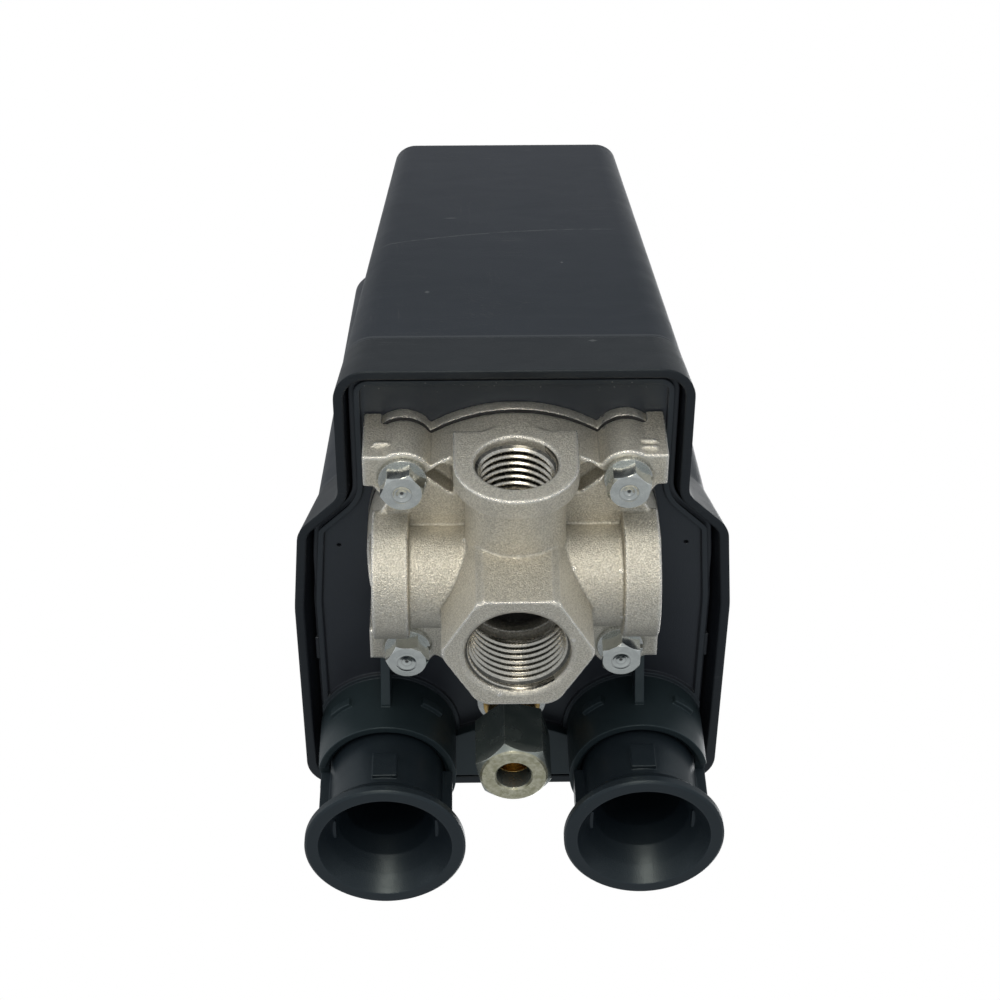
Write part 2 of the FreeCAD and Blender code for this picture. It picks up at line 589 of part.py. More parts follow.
def make_bushing(name, side, front):
    """Bell-mouthed cable bushing: a sleeve in the base's socket with a flared mouth in front."""
    x = "%d * socket_x" % side
    flare = front + " + bell_long"
    back = "socket_seat - sleeve_back_gap"
    corners = [("bell_inner_rad", front), ("bell_rad - 0.4", front), ("bell_rad", front + " + 0.4"),
               ("bell_rad", front + " + bell_edge"), ("(bell_rad + sleeve_rad) / 2",
                       front + " + bell_edge + 2.6"),
               ("sleeve_rad", flare), ("sleeve_rad", back), ("throat_rad", back),
               ("throat_rad", front + " + throat_long"), ("throat_rad + 1.1",
                       front + " + throat_long * 0.62"),
               ("throat_rad + 2.7", front + " + throat_long * 0.3")]
    body = turned(corners, x, "socket_y")
    lugs = [block(("%s - sleeve_rad - 1.5" % x, "socket_y - 2", flare + " - 1.5"),
                  ("%s - sleeve_rad + 1.5" % x, "socket_y + 2", "socket_front - 0.6")),
            block(("%s + sleeve_rad - 1.5" % x, "socket_y - 2", flare + " - 1.5"),
                  ("%s + sleeve_rad + 1.5" % x, "socket_y + 2", "socket_front - 0.6"))]
    ramp = block(("%s - 2.1" % x, "socket_y - sleeve_rad - 0.6", flare + " + 1"),
                 ("%s + 2.1" % x, "socket_y - sleeve_rad + 1.5", flare + " + 6.4"))
    bore = rod("throat_rad + 1", 40, x, "socket_y", 0)
    trim = cut(fuse(ramp, *lugs), bore)
    return node(name, fuse(body, trim))


def make_seal_set(name, side):
    """Rubber seal that grips the cable, and the thrust ring that squeezes it."""
    x = "%d * socket_x" % side
    seal = ring("seal_rad", "seal_hole_rad", "seal_thick", x, "socket_y", "socket_seat - seal_thick")
    node("cable_seal_" + name, seal)
    thrust = ring("socket_bore_rad - 0.06", "throat_rad", "thrust_thick", x, "socket_y",
                  "socket_seat - seal_thick - thrust_thick - 0.1")
    return node("thrust_ring_" + name, thrust)


# ---- unloader valve --------------------------------------------------------------------------------

def make_unloader():
    """Relief valve that vents the compressor's head when the switch cuts out."""
    y = "valve_y"
    nut = hexagon("nut_flats", "nut_long", 0, y, "nut_front", 16.5)
    corner = "nut_flats / 2 / cos(30)"
    crown = taper("nut_face_rad", "nut_face_rad + 9", 9, 0, y, "nut_front")
    bar = rod(corner + " + 1", 12, 0, y, "nut_front + 1.5")
    hollow = [rod("tube_rad", "nut_long + 2", 0, y, "nut_front - 1"),
              rod("valve_body_rad + 0.05", "nut_long - 4", 0, y, "nut_front + 4"),
              taper("tube_rad + 0.35", "tube_rad", 0.35, 0, y, "nut_front")]
    node("unloader_nut", cut(common(nut, fuse(crown, bar)), *hollow))

    ferrule = [("tube_rad", "nut_front + 4.2"), ("tube_rad + 0.7", "nut_front + 4.2"),
               ("valve_body_rad - 0.15", "nut_front + 5.2"), ("valve_body_rad - 0.15", "nut_front + 6.6"),
               ("tube_rad + 0.3", "nut_front + 9"), ("tube_rad", "nut_front + 9")]
    node("unloader_ferrule", turned(ferrule, y=y))

    inside = "nut_front + 8.2"
    seat = "floor_level - 4"
    body = [("tube_rad + 1.0", inside), ("valve_body_rad", inside), ("valve_body_rad", "valve_top - 0.4"),
            ("valve_body_rad - 0.4", "valve_top"), ("stem_rad + 0.05", "valve_top"), ("stem_rad + 0.05",
                    "valve_top - 3"),
            ("valve_bore_rad", "valve_top - 3"), ("valve_bore_rad", seat), ("1.5", seat), ("1.5",
                    "nut_front + 12.4"),
            ("tube_rad", "nut_front + 11.4"), ("tube_rad + 0.1", "nut_front + 9.6")]
    collar = ring("valve_body_rad + 0.7", "valve_body_rad - 0.2", "1.0", 0, y,
            "floor_level - valve_ring_thick - 1.1")
    node("unloader_body", fuse(turned(body, y=y), collar))
    washer = ring("valve_ring_rad", "valve_body_rad + 0.1", "valve_ring_thick", 0, y,
                  "floor_level - valve_ring_thick - 0.05")
    node("unloader_washer", washer)
    lock = cut(hexagon("valve_nut_flats - 2", "valve_nut_thick", 0, y, "foot_level + 0.05", 30),
               rod("valve_body_rad + 0.05", 6, 0, y, "foot_level - 1"))
    node("unloader_locknut", lock)

    stem = [(0, "stem_low"), ("stem_head_rad - 0.5", "stem_low"), ("stem_head_rad", "stem_low + 0.6"),
            ("stem_head_rad", "stem_low + 1.6"), ("stem_rad", "stem_low + 2.2"), ("stem_rad",
                    "stem_top - 0.5"),
            ("stem_rad - 0.5", "stem_top"), (0, "stem_top")]
    node("unloader_stem", turned(stem, y=y))


# ---- mechanism -------------------------------------------------------------------------------------

def make_spring(name, x, y, low, high, radius, wire, turns):
    """Round-wire compression spring with its end turns laid flat."""
    pitch = (size(high) - size(low) - 2 * size(wire)) / (turns + 0.5)
    coil = Part.makeHelix(pitch, pitch * turns, size(radius))
    coil.translate(vec(0, 0, size(low) + size(wire) + 0.25 * pitch))
    section = Part.Wire(Part.makeCircle(size(wire), coil.Edges[0].firstVertex().Point, vec(0, 1, 0.05)))
    body = Part.Wire(coil).makePipeShell([section], True, True)
    ends = [Part.makeTorus(size(radius), size(wire) * 0.98, vec(0, 0, level))
            for level in (size(low) + size(wire), size(high) - size(wire))]
    thing = feature(group_solid([body] + ends))
    return node(name, place(thing, x, y, 0))


def group_solid(shapes):
    return shapes[0].fuse(shapes[1:])


def make_yoke():
    """Bent steel frame that carries the lever and the springs, with the cover's post on its bridge."""
    top = "bridge_low + bridge_thick"
    foot = block(("-foot_half_x", "foot_back", "foot_level"), ("foot_half_x", "foot_front",
            "foot_level + foot_thick"))
    parts = [foot]
    for side in (-1, 1):
        inner, outer = "cheek_inner", "cheek_inner + cheek_thick"
        xs = (inner, outer) if side > 0 else ("-(%s)" % outer, "-(%s)" % inner)
        parts.append(block((xs[0], "cheek_back", "foot_level + 1"), (xs[1], "cheek_front", top)))
        parts.append(block((xs[0], "cheek_front - 3", "64"), (xs[1], "trim_y + 5", "70")))
    half = "cheek_inner + cheek_thick"
    parts.append(block(("-(%s)" % half, "post_y - 5", "bridge_low"), (half, "cheek_front", top)))
    parts.append(block(("-(%s)" % half, "trim_y - 6", "64"), (half, "trim_y + 5", "66")))
    tools = [rod("pin_rad + 0.05", "2 * pin_half + 4", "-pin_half - 2", "lever_pivot_y",
            "lever_low + 1.5", "x"),
             rod("plunger_stem_rad + 2.5", 6, 0, "axis_y", "foot_level - 1"),
             rod("range_screw_rad + 0.05", 6, 0, "axis_y", "bridge_low - 1"),
             rod("trim_screw_rad + 0.05", 6, 0, "trim_y", "62"),
             rod("bolt_rad + 0.05", 6, 0, "post_y", "bridge_low - 1")]
    tools += bolt_holes("bolt_rad + 0.05", "foot_level - 1", 6)
    for side in (-1, 1):
        near, far = ("cheek_inner - 1", "cheek_inner + 4") if side > 0 else ("-cheek_inner - 4",
                "1 - cheek_inner")
        tools.append(block((near, "cheek_back + 4", "56"), (far, "cheek_front - 7", "80")))
    return node("yoke", cut(fuse(*parts), *tools))


def make_cover_post():
    """Hexagonal standoff on the yoke's bridge that takes the cover screw."""
    low = "bridge_low + bridge_thick"
    post = hexagon("post_flats", "post_top - (%s)" % low, 0, "post_y", low)
    stud = rod("bolt_rad", "bridge_thick + 1.5", 0, "post_y", "bridge_low - 1.5")
    return node("cover_post", cut(fuse(post, stud), rod("bolt_rad + 0.05", 14, 0, "post_y",
            "post_top - 13")))


def pan_screw(head_radius, head_low, head_thick, shank_radius, shank_end, x, y, slot):
    """Slotted pan-head screw whose head is above its shank."""
    top = "%s + %s" % (head_low, head_thick)
    body = turned([(0, shank_end), (shank_radius, shank_end), (shank_radius, head_low), (head_radius,
            head_low),
                   (head_radius, top + " - 0.5"), ("%s - 0.7" % head_radius, top), (0, top)], x, y)
    width = "(%s) / 2" % slot
    groove = block(("%s - %s" % (x, head_radius), "%s - %s" % (y, width), top + " - 0.9"),
                   ("%s + %s" % (x, head_radius), "%s + %s" % (y, width), top + " + 1"))
    return cut(body, groove)


def make_cover_screw():
    screw = pan_screw("3.6", "top_level + 0.05", "2.4", "bolt_rad", "post_top - 11", "0", "post_y", "1.0")
    return node("cover_screw", screw)


def make_lever():
    """Rocking lever: the plunger lifts one side, and the tongue on the other side works the valve."""
    low, high = "lever_low", "lever_low + lever_thick"
    beam = plate([("-lever_half", "lever_back_y"), ("lever_half", "lever_back_y"), ("lever_half",
            "lever_pivot_y + 7"),
                  ("tongue_half", "lever_pivot_y + 13"), ("tongue_half", "lever_front_y"),
                  ("-tongue_half", "lever_front_y"), ("-tongue_half", "lever_pivot_y + 13"),
                  ("-lever_half", "lever_pivot_y + 7")], low, high)
    level = "lever_low + 1.5"
    hub = rod("hub_rad", "2 * lever_half + 4", "-lever_half - 2", "lever_pivot_y", level, "x")
    bore = rod("pin_rad + 0.05", "2 * pin_half + 2", "-pin_half - 1", "lever_pivot_y", level, "x")
    cup = rod("2.6", "0.9", 0, "trim_y", high)
    guide = cut(fuse(beam, hub, cup), bore)
    node("main_lever", guide)
    pin = rod("pin_rad", "2 * pin_half", "-pin_half", "lever_pivot_y", level, "x")
    grooves = [cut(rod("pin_rad + 1", "0.8", "%s * (pin_half - 0.9) - 0.4" % k, "lever_pivot_y", level,
            "x"),
                   rod("pin_rad - 0.35", "2", "%s * (pin_half - 0.9) - 1" % k, "lever_pivot_y", level,
                           "x"))
               for k in ("-1", "1")]
    node("lever_pin", cut(pin, *grooves))
    clips = []
    for k in (-1, 1):
        start = "%d * (pin_half - 0.9) - 0.3" % k
        clip = cut(rod("pin_rad + 1.9", "0.6", start, "lever_pivot_y", level, "x"),
                   rod("pin_rad - 0.3", "3", start + " - 1", "lever_pivot_y", level, "x"),
                   block((start + " - 1", "lever_pivot_y - 1", level), (start + " + 2",
                           "lever_pivot_y + 1", level + " + 6")))
        clips.append(clip)
    node("pin_clips", group(*clips))


def make_range_set():
    """Main spring with its two seats and the screw that sets the cut-out pressure."""
    low = "lever_low + lever_thick"
    seat = turned([(0, low + " + 0.06"), (0.6, low + " + 0.06"), (2.4, low + " + 1.1"),
                   ("spring_seat_rad", low + " + 1.1"), ("spring_seat_rad", "spring_low - 0.05"),
                   ("spring_rad - spring_wire_rad - 0.3", "spring_low - 0.05"),
                   ("spring_rad - spring_wire_rad - 0.8", "spring_low + 3"), (0,
                           "spring_low + 3")], y="axis_y")
    node("lower_spring_seat", seat)
    make_spring("range_spring", 0, "axis_y", "spring_low", "spring_high", "spring_rad", "spring_wire_rad",
            6)
    half = "cheek_inner - 0.4"
    top = "spring_high + 0.05 + seat_plate_thick"
    square = block(("-(%s)" % half, "axis_y - 8.5", "spring_high + 0.05"), (half, "axis_y + 8.5", top))
    boss = rod("spring_rad - spring_wire_rad - 0.4", 5, 0, "axis_y", "spring_high - 4.9")
    node("upper_spring_seat", cut(fuse(square, boss), rod("range_screw_rad + 0.05", 20, 0, "axis_y",
            "spring_high - 8")))
    bridge_top = "bridge_low + bridge_thick"
    head = hexagon("range_head_flats", 4.5, 0, "axis_y", bridge_top + " + 0.1")
    cross = block(("-0.8", "axis_y - 6", bridge_top + " + 3.4"), ("0.8", "axis_y + 6",
            bridge_top + " + 6"))
    shank = rod("range_screw_rad", "bridge_low + bridge_thick + 0.2 - 62", 0, "axis_y", 62)
    node("range_screw", cut(fuse(head, shank), cross))


def make_trim_set():
    """Small spring and screw that set how far the pressure falls before the switch cuts in."""
    make_spring("differential_spring", 0, "trim_y", "trim_low", "trim_high", "trim_spring_rad",
            "trim_wire_rad", 6)
    seat = cut(fuse(rod("trim_spring_rad + 1", "1.6", 0, "trim_y", "trim_high + 0.05"),
                    rod("trim_spring_rad - trim_wire_rad - 0.3", 2, 0, "trim_y", "trim_high - 1.9")),
               rod("trim_screw_rad + 0.05", 8, 0, "trim_y", "trim_high - 4"))
    node("differential_seat", seat)
    node("differential_screw", pan_screw("trim_head_rad", "66.1", "2.2", "trim_screw_rad", "55.5", "0",
            "trim_y", "0.9"))


def make_contacts():
    """Insulating block with six fixed contacts, and the carrier with three bridging contacts."""
    block_body = block(("-block_half", "block_back", "block_low"), ("block_half", "block_front",
            "block_high"))
    guide = cut(block(("-3.6", "rod_y - 3", "68"), ("3.6", "block_back", "74")),
                block(("-rod_half - 0.25", "rod_y - rod_half - 0.25", "60"),
                      ("rod_half + 0.25", "rod_y + rod_half + 0.25", "80")))
    tools = []
    strips, screws, bridges, springs, carrier = [], [], [], [], []
    carrier.append(block(("-21", "carrier_y - 2.6", "53"), ("21", "carrier_y + 2.6", "56")))
    carrier.append(block(("-2.4", "carrier_y - 2", "49.5"), ("2.4", "carrier_y + 2.6", "54")))
    for pole in (-1, 0, 1):
        x = "%d * pole_pitch" % pole
        tools.append(block((x + " - channel_wide / 2", "block_back + 2", "block_low - 1"),
                           (x + " + channel_wide / 2", "block_front - 2", "channel_high")))
        tools.append(block((x + " - 3.7", "carrier_y - 3", "channel_high - 1"),
                           (x + " + 3.7", "carrier_y + 3", "channel_high + 5")))
        for y, inner, outer in (("terminal_back", "terminal_back + 3.7", "block_back"),
                                ("terminal_front", "terminal_front - 3.7", "block_front")):
            tools.append(rod("terminal_well_rad", 20, x, y, "channel_high + 2.6"))
            tools.append(rod("terminal_shank_rad + 0.05", 20, x, y, "channel_high - 2"))
            low_y, high_y = (outer + " + 2.1", inner) if inner.startswith("terminal_back") else (inner,
                    outer + " - 2.1")
            strip = block((x + " - 3.6", low_y, "channel_high - strip_thick - 0.1"),
                          (x + " + 3.6", high_y, "channel_high - 0.1"))
            tip_y = "carrier_y - 2.7" if y == "terminal_back" else "carrier_y + 2.7"
            tip = rod("1.0", "0.8", x, tip_y, "channel_high - strip_thick - 0.9")
            strips.append(cut(fuse(strip, tip), rod("terminal_shank_rad + 0.05", 6, x, y,
                    "channel_high - 3")))
            screws.append(pan_screw("terminal_rad", "channel_high + 2.7", "2.4", "terminal_shank_rad",
                    "channel_high - 1.4", x, y, "0.9"))
        bar_low = "channel_high - strip_thick - 0.9 - 1.3"
        bridges.append(fuse(block((x + " - 2", "carrier_y - 3.9", bar_low), (x + " + 2",
                "carrier_y + 3.9", bar_low + " + 0.8")),
                            rod("1.0", "0.45", x, "carrier_y - 2.7", bar_low + " + 0.8"),
                            rod("1.0", "0.45", x, "carrier_y + 2.7", bar_low + " + 0.8")))
        post = [block((x + " %s 2.7 - 0.4" % s, "carrier_y - 1.2", "55"), (x + " %s 2.7 + 0.4" % s,
                "carrier_y + 1.2", "67.4"))
                for s in ("-", "+")]
        carrier += post + [block((x + " - 3.1", "carrier_y - 1.2", "66.4"), (x + " + 3.1",
                "carrier_y + 1.2", "68"))]
        springs.append((x, bar_low))
    node("contact_block", fuse(cut(block_body, *tools), guide))
    node("fixed_contacts", group(*strips))
    node("terminal_screws", group(*screws))
    node("contact_carrier", fuse(*carrier))
    node("contact_bridges", group(*bridges))
    coils = []
    for pole in (-1, 0, 1):
        wire, radius, low, high = 0.22, 1.1, 56.1, 62.4
        coil = Part.makeHelix(1.2, high - low - 2 * wire, radius)
        coil.translate(vec(0, 0, low + wire))
        section = Part.Wire(Part.makeCircle(wire, coil.Edges[0].firstVertex().Point, vec(0, 1, 0.1)))
        body = Part.Wire(coil).makePipeShell([section], True, True)
        body.translate(vec(pole * size("pole_pitch"), size("carrier_y"), 0))
        coils.append(body)
    node("contact_springs", feature(Part.makeCompound(coils)))


def make_earth_terminal():
    """Earthing screw with its washer, on the base's floor."""
    low = "foot_level"
    node("earth_washer", ring("3.4", "bolt_rad + 0.1", "0.8", "earth_x", "earth_y", low + " + 0.05"))
    screw = pan_screw("3.1", low + " + 0.9", "2.4", "bolt_rad", low + " - 2.4", "earth_x", "earth_y",
            "1.0")
    node("earth_screw", screw)


def make_cam_ramp():
    """Helical face under the cam, which lowers the release rod as the knob turns."""
    sections = []
    for turn in range(0, 121, 15):
        angle = math.radians(90 + 20 - turn)
        low = size("cam_low") - size("rod_travel") * min(max(turn - 20, 0), 90) / 90 - 0.01
        outward = vec(math.cos(angle), math.sin(angle), 0)
        corners = [outward * radius + vec(0, size("knob_y"), level)
                   for radius, level in ((2.9, low), (6.2, low), (6.2, size("cam_low") + 0.5), (2.9,
                           size("cam_low") + 0.5))]
        sections.append(Part.makePolygon(corners + corners[:1]))
    return feature(Part.makeLoft(sections, True, True))


def make_knob_set():
    """Off/auto knob on the cover, its cam, and the rod that the cam pushes."""
    top = "top_level"
    shaft = rod("knob_shaft_rad", "top_level + 1 - cam_low - cam_thick", 0, "knob_y",
            "cam_low + cam_thick")
    grip = block(("-2.3", "knob_y - knob_rad + 0.8", top + " + 3"),
                 ("2.3", "knob_y + knob_rad - 0.8", top + " + knob_tall"))
    cap = fuse(rod("knob_rad", "knob_tall - 4", 0, "knob_y", top + " + 0.3"),
               taper("knob_rad", "knob_rad - 0.8", "0.8", 0, "knob_y",
                       top + " + knob_tall - 3.7"), grip, shaft)
    node("on_off_knob", cap)
    node("knob_cam", fuse(rod("cam_rad", "cam_thick", 0, "knob_y", "cam_low"), make_cam_ramp()))
    stem = block(("-rod_half", "rod_y - rod_half", "rod_low"), ("rod_half", "rod_y + rod_half",
            "cam_low - 0.7"))
    return node("release_rod", stem)


# ---- whole switch ----------------------------------------------------------------------------------

make_manifold()
make_bolts()
make_washers()
make_diaphragm()
make_clamp_ring()
make_plunger()
make_base()
make_cover()
make_yoke()
make_cover_post()
make_cover_screw()
make_lever()
make_range_set()
make_trim_set()
make_unloader()
make_spring("unloader_spring", 0, "valve_y", "valve_spring_low", "stem_low", "valve_spring_rad",
        "valve_wire_rad", 2.5)
make_contacts()
make_earth_terminal()
make_knob_set()
for place_name, side, bell_front in (("left", -1, "bell_front_left"), ("right", 1, "bell_front_right")):
    make_bushing("bushing_" + place_name, side, bell_front)
    make_seal_set(place_name, side)

doc.recompute()
for thing in doc.Objects:
    if "Invalid" in thing.State or "Error" in thing.State:
        raise RuntimeError("%s (%s) did not recompute: %s" % (thing.Label, thing.Name, thing.State))
os.makedirs("parts", exist_ok=True)
for thing in NODES:
    if thing.Shape.isNull() or not thing.Shape.isValid() or not thing.Shape.Solids:
        raise RuntimeError("%s is not a valid solid" % thing.Label)
    thing.Shape.exportStep("parts/%s.step" % thing.Label)
    print(thing.Label, len(thing.Shape.Solids))
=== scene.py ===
"""Looks for the pressure switch.

They are procedural materials, softened castings, springs and seals as pieces of their own, cut threads,
a pale floor and soft studio light.

Lengths are in metres in the part's own frame. Names ending in _mm are in millimetres, and so is every
length inside a material. Colours are linear red, green and blue.
"""
import json
import math
import bmesh
import bpy
from mathutils import Matrix, Vector

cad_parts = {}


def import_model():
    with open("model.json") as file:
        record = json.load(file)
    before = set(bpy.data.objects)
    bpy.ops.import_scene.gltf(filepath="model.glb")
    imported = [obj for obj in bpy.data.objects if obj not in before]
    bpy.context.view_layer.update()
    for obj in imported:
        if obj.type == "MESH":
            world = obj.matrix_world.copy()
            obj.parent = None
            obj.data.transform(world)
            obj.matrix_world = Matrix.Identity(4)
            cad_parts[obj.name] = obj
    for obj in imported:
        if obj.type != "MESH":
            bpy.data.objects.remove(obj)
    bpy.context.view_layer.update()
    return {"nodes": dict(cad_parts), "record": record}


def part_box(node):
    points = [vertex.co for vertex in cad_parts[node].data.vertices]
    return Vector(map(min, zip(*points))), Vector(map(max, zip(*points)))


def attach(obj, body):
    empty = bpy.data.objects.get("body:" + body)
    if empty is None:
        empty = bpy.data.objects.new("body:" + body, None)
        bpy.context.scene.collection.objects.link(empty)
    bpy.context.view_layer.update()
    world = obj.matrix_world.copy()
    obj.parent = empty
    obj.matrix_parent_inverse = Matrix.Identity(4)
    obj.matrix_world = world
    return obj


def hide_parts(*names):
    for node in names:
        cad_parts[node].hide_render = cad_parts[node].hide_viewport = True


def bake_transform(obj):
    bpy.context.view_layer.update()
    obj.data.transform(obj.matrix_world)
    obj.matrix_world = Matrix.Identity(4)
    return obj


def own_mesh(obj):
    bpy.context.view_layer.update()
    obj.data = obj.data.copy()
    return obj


MM = 0.001
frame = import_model()
cad_nodes = frame["nodes"]


# ---- materials ---------------------------------------------------------------------------------------

class Look:
    """One procedural material. Its patterns are laid out in millimetres on the piece itself."""

    def __init__(self, name, metallic=0.0, specular=0.5):
        self.material = bpy.data.materials.new(name)
        self.material.use_nodes = True
        self.tree = self.material.node_tree
        self.shader = self.tree.nodes["Principled BSDF"]
        self.shader.inputs["Metallic"].default_value = metallic
        self.shader.inputs["Specular IOR Level"].default_value = specular
        where = self.add("ShaderNodeTexCoord")
        self.place = self.vector("SCALE", where.outputs["Object"], scale=1000.0)
        self.height = None

    def add(self, kind, **settings):
        """Add one shader node with its settings."""
        made = self.tree.nodes.new(kind)
        for key, value in settings.items():
            setattr(made, key, value)
        return made

    def feed(self, socket, value):
        """Connect a node's output to a socket, or set the socket to a plain value."""
        if isinstance(value, bpy.types.NodeSocket):
            self.tree.links.new(value, socket)
        else:
            socket.default_value = value

    def vector(self, operation, first, second=None, scale=None):
        """One sum on vectors, whose result is a vector or a number."""
        made = self.add("ShaderNodeVectorMath", operation=operation)
        self.feed(made.inputs[0], first)
        if second is not None:
            self.feed(made.inputs[1], second)
        if scale is not None:
            made.inputs["Scale"].default_value = scale
        return made.outputs["Value" if operation in ("DOT_PRODUCT", "LENGTH", "DISTANCE") else "Vector"]

    def math(self, operation, first, second=0.0):
        """One sum on patterns or plain numbers."""
        made = self.add("ShaderNodeMath", operation=operation)
        self.feed(made.inputs[0], first)
        self.feed(made.inputs[1], second)
        return made.outputs[0]

    def product(self, *factors):
        """Several patterns or numbers multiplied together."""
        result = factors[0]
        for factor in factors[1:]:
            result = self.math("MULTIPLY", result, factor)
        return result

    def axis(self, name):
        """One coordinate of the surface point, in millimetres."""
        made = self.add("ShaderNodeSeparateXYZ")
        self.feed(made.inputs[0], self.place)
        return made.outputs[name]

    def noise(self, per_mm, detail=3.0, rough=0.5, stretch=(1, 1, 1), distortion=0.0):
        """Soft random blobs, with a number of them to a millimetre."""
        where = self.vector("MULTIPLY", self.place, tuple(stretch))
        made = self.add("ShaderNodeTexNoise")
        self.feed(made.inputs["Vector"], where)
        made.inputs["Scale"].default_value = per_mm
        made.inputs["Detail"].default_value = detail
        made.inputs["Roughness"].default_value = rough
        made.inputs["Distortion"].default_value = distortion
        return made.outputs["Fac"]

    def cells(self, per_mm, output="Distance"):
        """Random cells: the distance from the nearest cell's middle, or each cell's own colour."""
        made = self.add("ShaderNodeTexVoronoi")
        self.feed(made.inputs["Vector"], self.place)
        made.inputs["Scale"].default_value = per_mm
        return made.outputs[output]

    def span(self, value, low, high, to_low=0.0, to_high=1.0):
        """Rescale a value from one range to another, held at the ends."""
        made = self.add("ShaderNodeMapRange")
        for socket, number in zip(made.inputs, (value, low, high, to_low, to_high)):
            self.feed(socket, number)
        return made.outputs["Result"]

    def mix(self, part, first, second):
        """A colour between two others, from the first at 0 to the second at 1."""
        made = self.add("ShaderNodeMix", data_type="RGBA", blend_type="MIX", clamp_factor=True)
        self.feed(made.inputs[0], part)
        for socket, colour in ((made.inputs[6], first), (made.inputs[7], second)):
            linked = isinstance(colour, bpy.types.NodeSocket)
            self.feed(socket, colour if linked else tuple(colour) + (1.0,))
        return made.outputs[2]

    def tint(self, colour, pattern, strength, other):
        """Mix a colour towards another where a pattern is 1, up to a strength."""
        return self.mix(self.product(pattern, strength), colour, other)

    def line(self, coordinate, at, half, soft):
        """1 where a coordinate is within half a width of a level, falling to 0 over a soft edge."""
        away = self.math("ABSOLUTE", self.math("SUBTRACT", coordinate, at))
        return self.span(away, half, half + soft, 1.0, 0.0)

    def add_height(self, height, depth_mm):
        """Raise the surface by a pattern times a depth in millimetres."""
        step = self.math("MULTIPLY", height, depth_mm)
        self.height = step if self.height is None else self.math("ADD", self.height, step)

    def edges(self, radius_mm, low=0.01, high=0.12):
        """1 on sharp edges, from how far a rounded normal turns away from the real one."""
        rounded = self.add("ShaderNodeBevel", samples=6)
        rounded.inputs["Radius"].default_value = radius_mm * MM
        self.rounded = rounded.outputs[0]
        true = self.add("ShaderNodeNewGeometry")
        turn = self.vector("DOT_PRODUCT", self.rounded, true.outputs["Normal"])
        return self.span(self.math("SUBTRACT", 1.0, turn), low, high)

    def pointy(self, low=0.52, high=0.6):
        """1 on a finely meshed piece's outer corners, or in its inner ones when high is below low."""
        true = self.add("ShaderNodeNewGeometry")
        return self.span(true.outputs["Pointiness"], low, high)

    def finish(self, colour, roughness, rounded=None):
        """Connect the colour, roughness and relief to the shader, over a rounded normal if there is one."""
        self.feed(self.shader.inputs["Base Color"], colour)
        self.feed(self.shader.inputs["Roughness"], roughness)
        normal = rounded
        if self.height is not None:
            made = self.add("ShaderNodeBump")
            made.inputs["Strength"].default_value = 1.0
            made.inputs["Distance"].default_value = MM
            self.feed(made.inputs["Height"], self.height)
            if rounded is not None:
                self.feed(made.inputs["Normal"], rounded)
            normal = made.outputs["Normal"]
        if normal is not None:
            self.feed(self.shader.inputs["Normal"], normal)
        return self.material


def cast_metal(name="cast_metal", tone=(0.52, 0.495, 0.435), pale=(0.82, 0.785, 0.70), port_dark=False):
    """Grit-blasted light-alloy casting: a fine sparkling grain, soft clouds, painted shade in its inner
    corners, and outer corners paler from wear and from a painted highlight.

    With port_dark, the end of the tank port's bore past its thread gets painted shade: near-black.
    """
    look = Look(name, metallic=1.0)
    grain = look.noise(4.2, detail=2.0, rough=0.65)
    coarse = look.noise(1.5, detail=3.0, rough=0.6)
    cloud = look.noise(0.12, detail=4.0, rough=0.6)
    glint = look.add("ShaderNodeSeparateColor")
    look.feed(glint.inputs[0], look.cells(5.0, output="Color"))
    bright = look.span(glint.outputs[0], 0.78, 0.93)
    colour = look.mix(look.span(cloud, 0.35, 0.7), tone, tuple(c * 1.14 for c in tone))
    colour = look.mix(look.span(grain, 0.44, 0.60), colour, pale)
    colour = look.mix(look.span(coarse, 0.55, 0.72, 0.0, 0.35), colour, tuple(c * 0.62 for c in tone))
    colour = look.tint(colour, bright, 0.5, (0.90, 0.88, 0.82))
    # painted shade: the casting's inner corners and hollows are darkened
    painted_shade_in_hollows = look.pointy(0.490, 0.455)
    colour = look.tint(colour, painted_shade_in_hollows, 0.55, tuple(c * 0.45 for c in tone))
    # outer corners: paler as rubbed metal and partly as a painted highlight along the edges, and smoother
    pointy = look.pointy(0.503, 0.545)
    colour = look.tint(colour, pointy, 0.75, (0.92, 0.90, 0.86))
    rough = look.span(grain, 0.3, 0.7, 0.48, 0.34)
    rough = look.math("SUBTRACT", rough, look.math("MULTIPLY", pointy, 0.20))
    if port_dark:
        # painted shade: the bore past its thread is painted near-black
        from_axis = look.vector("LENGTH", look.vector("MULTIPLY", look.place, (1, 1, 0)))
        inner = look.span(from_axis, 8.1, 8.5, 1.0, 0.0)
        deep = look.span(look.axis("Z"), 13.6, 16.4)
        below = look.span(look.axis("Z"), 23.0, 24.0, 1.0, 0.0)
        painted_bore_shade = look.product(inner, deep, below)
        colour = look.tint(colour, painted_bore_shade, 0.97, (0.012, 0.012, 0.013))
    look.add_height(grain, 0.18)
    look.add_height(coarse, 0.06)
    look.add_height(glint.outputs[1], 0.035)
    return look.finish(colour, rough)


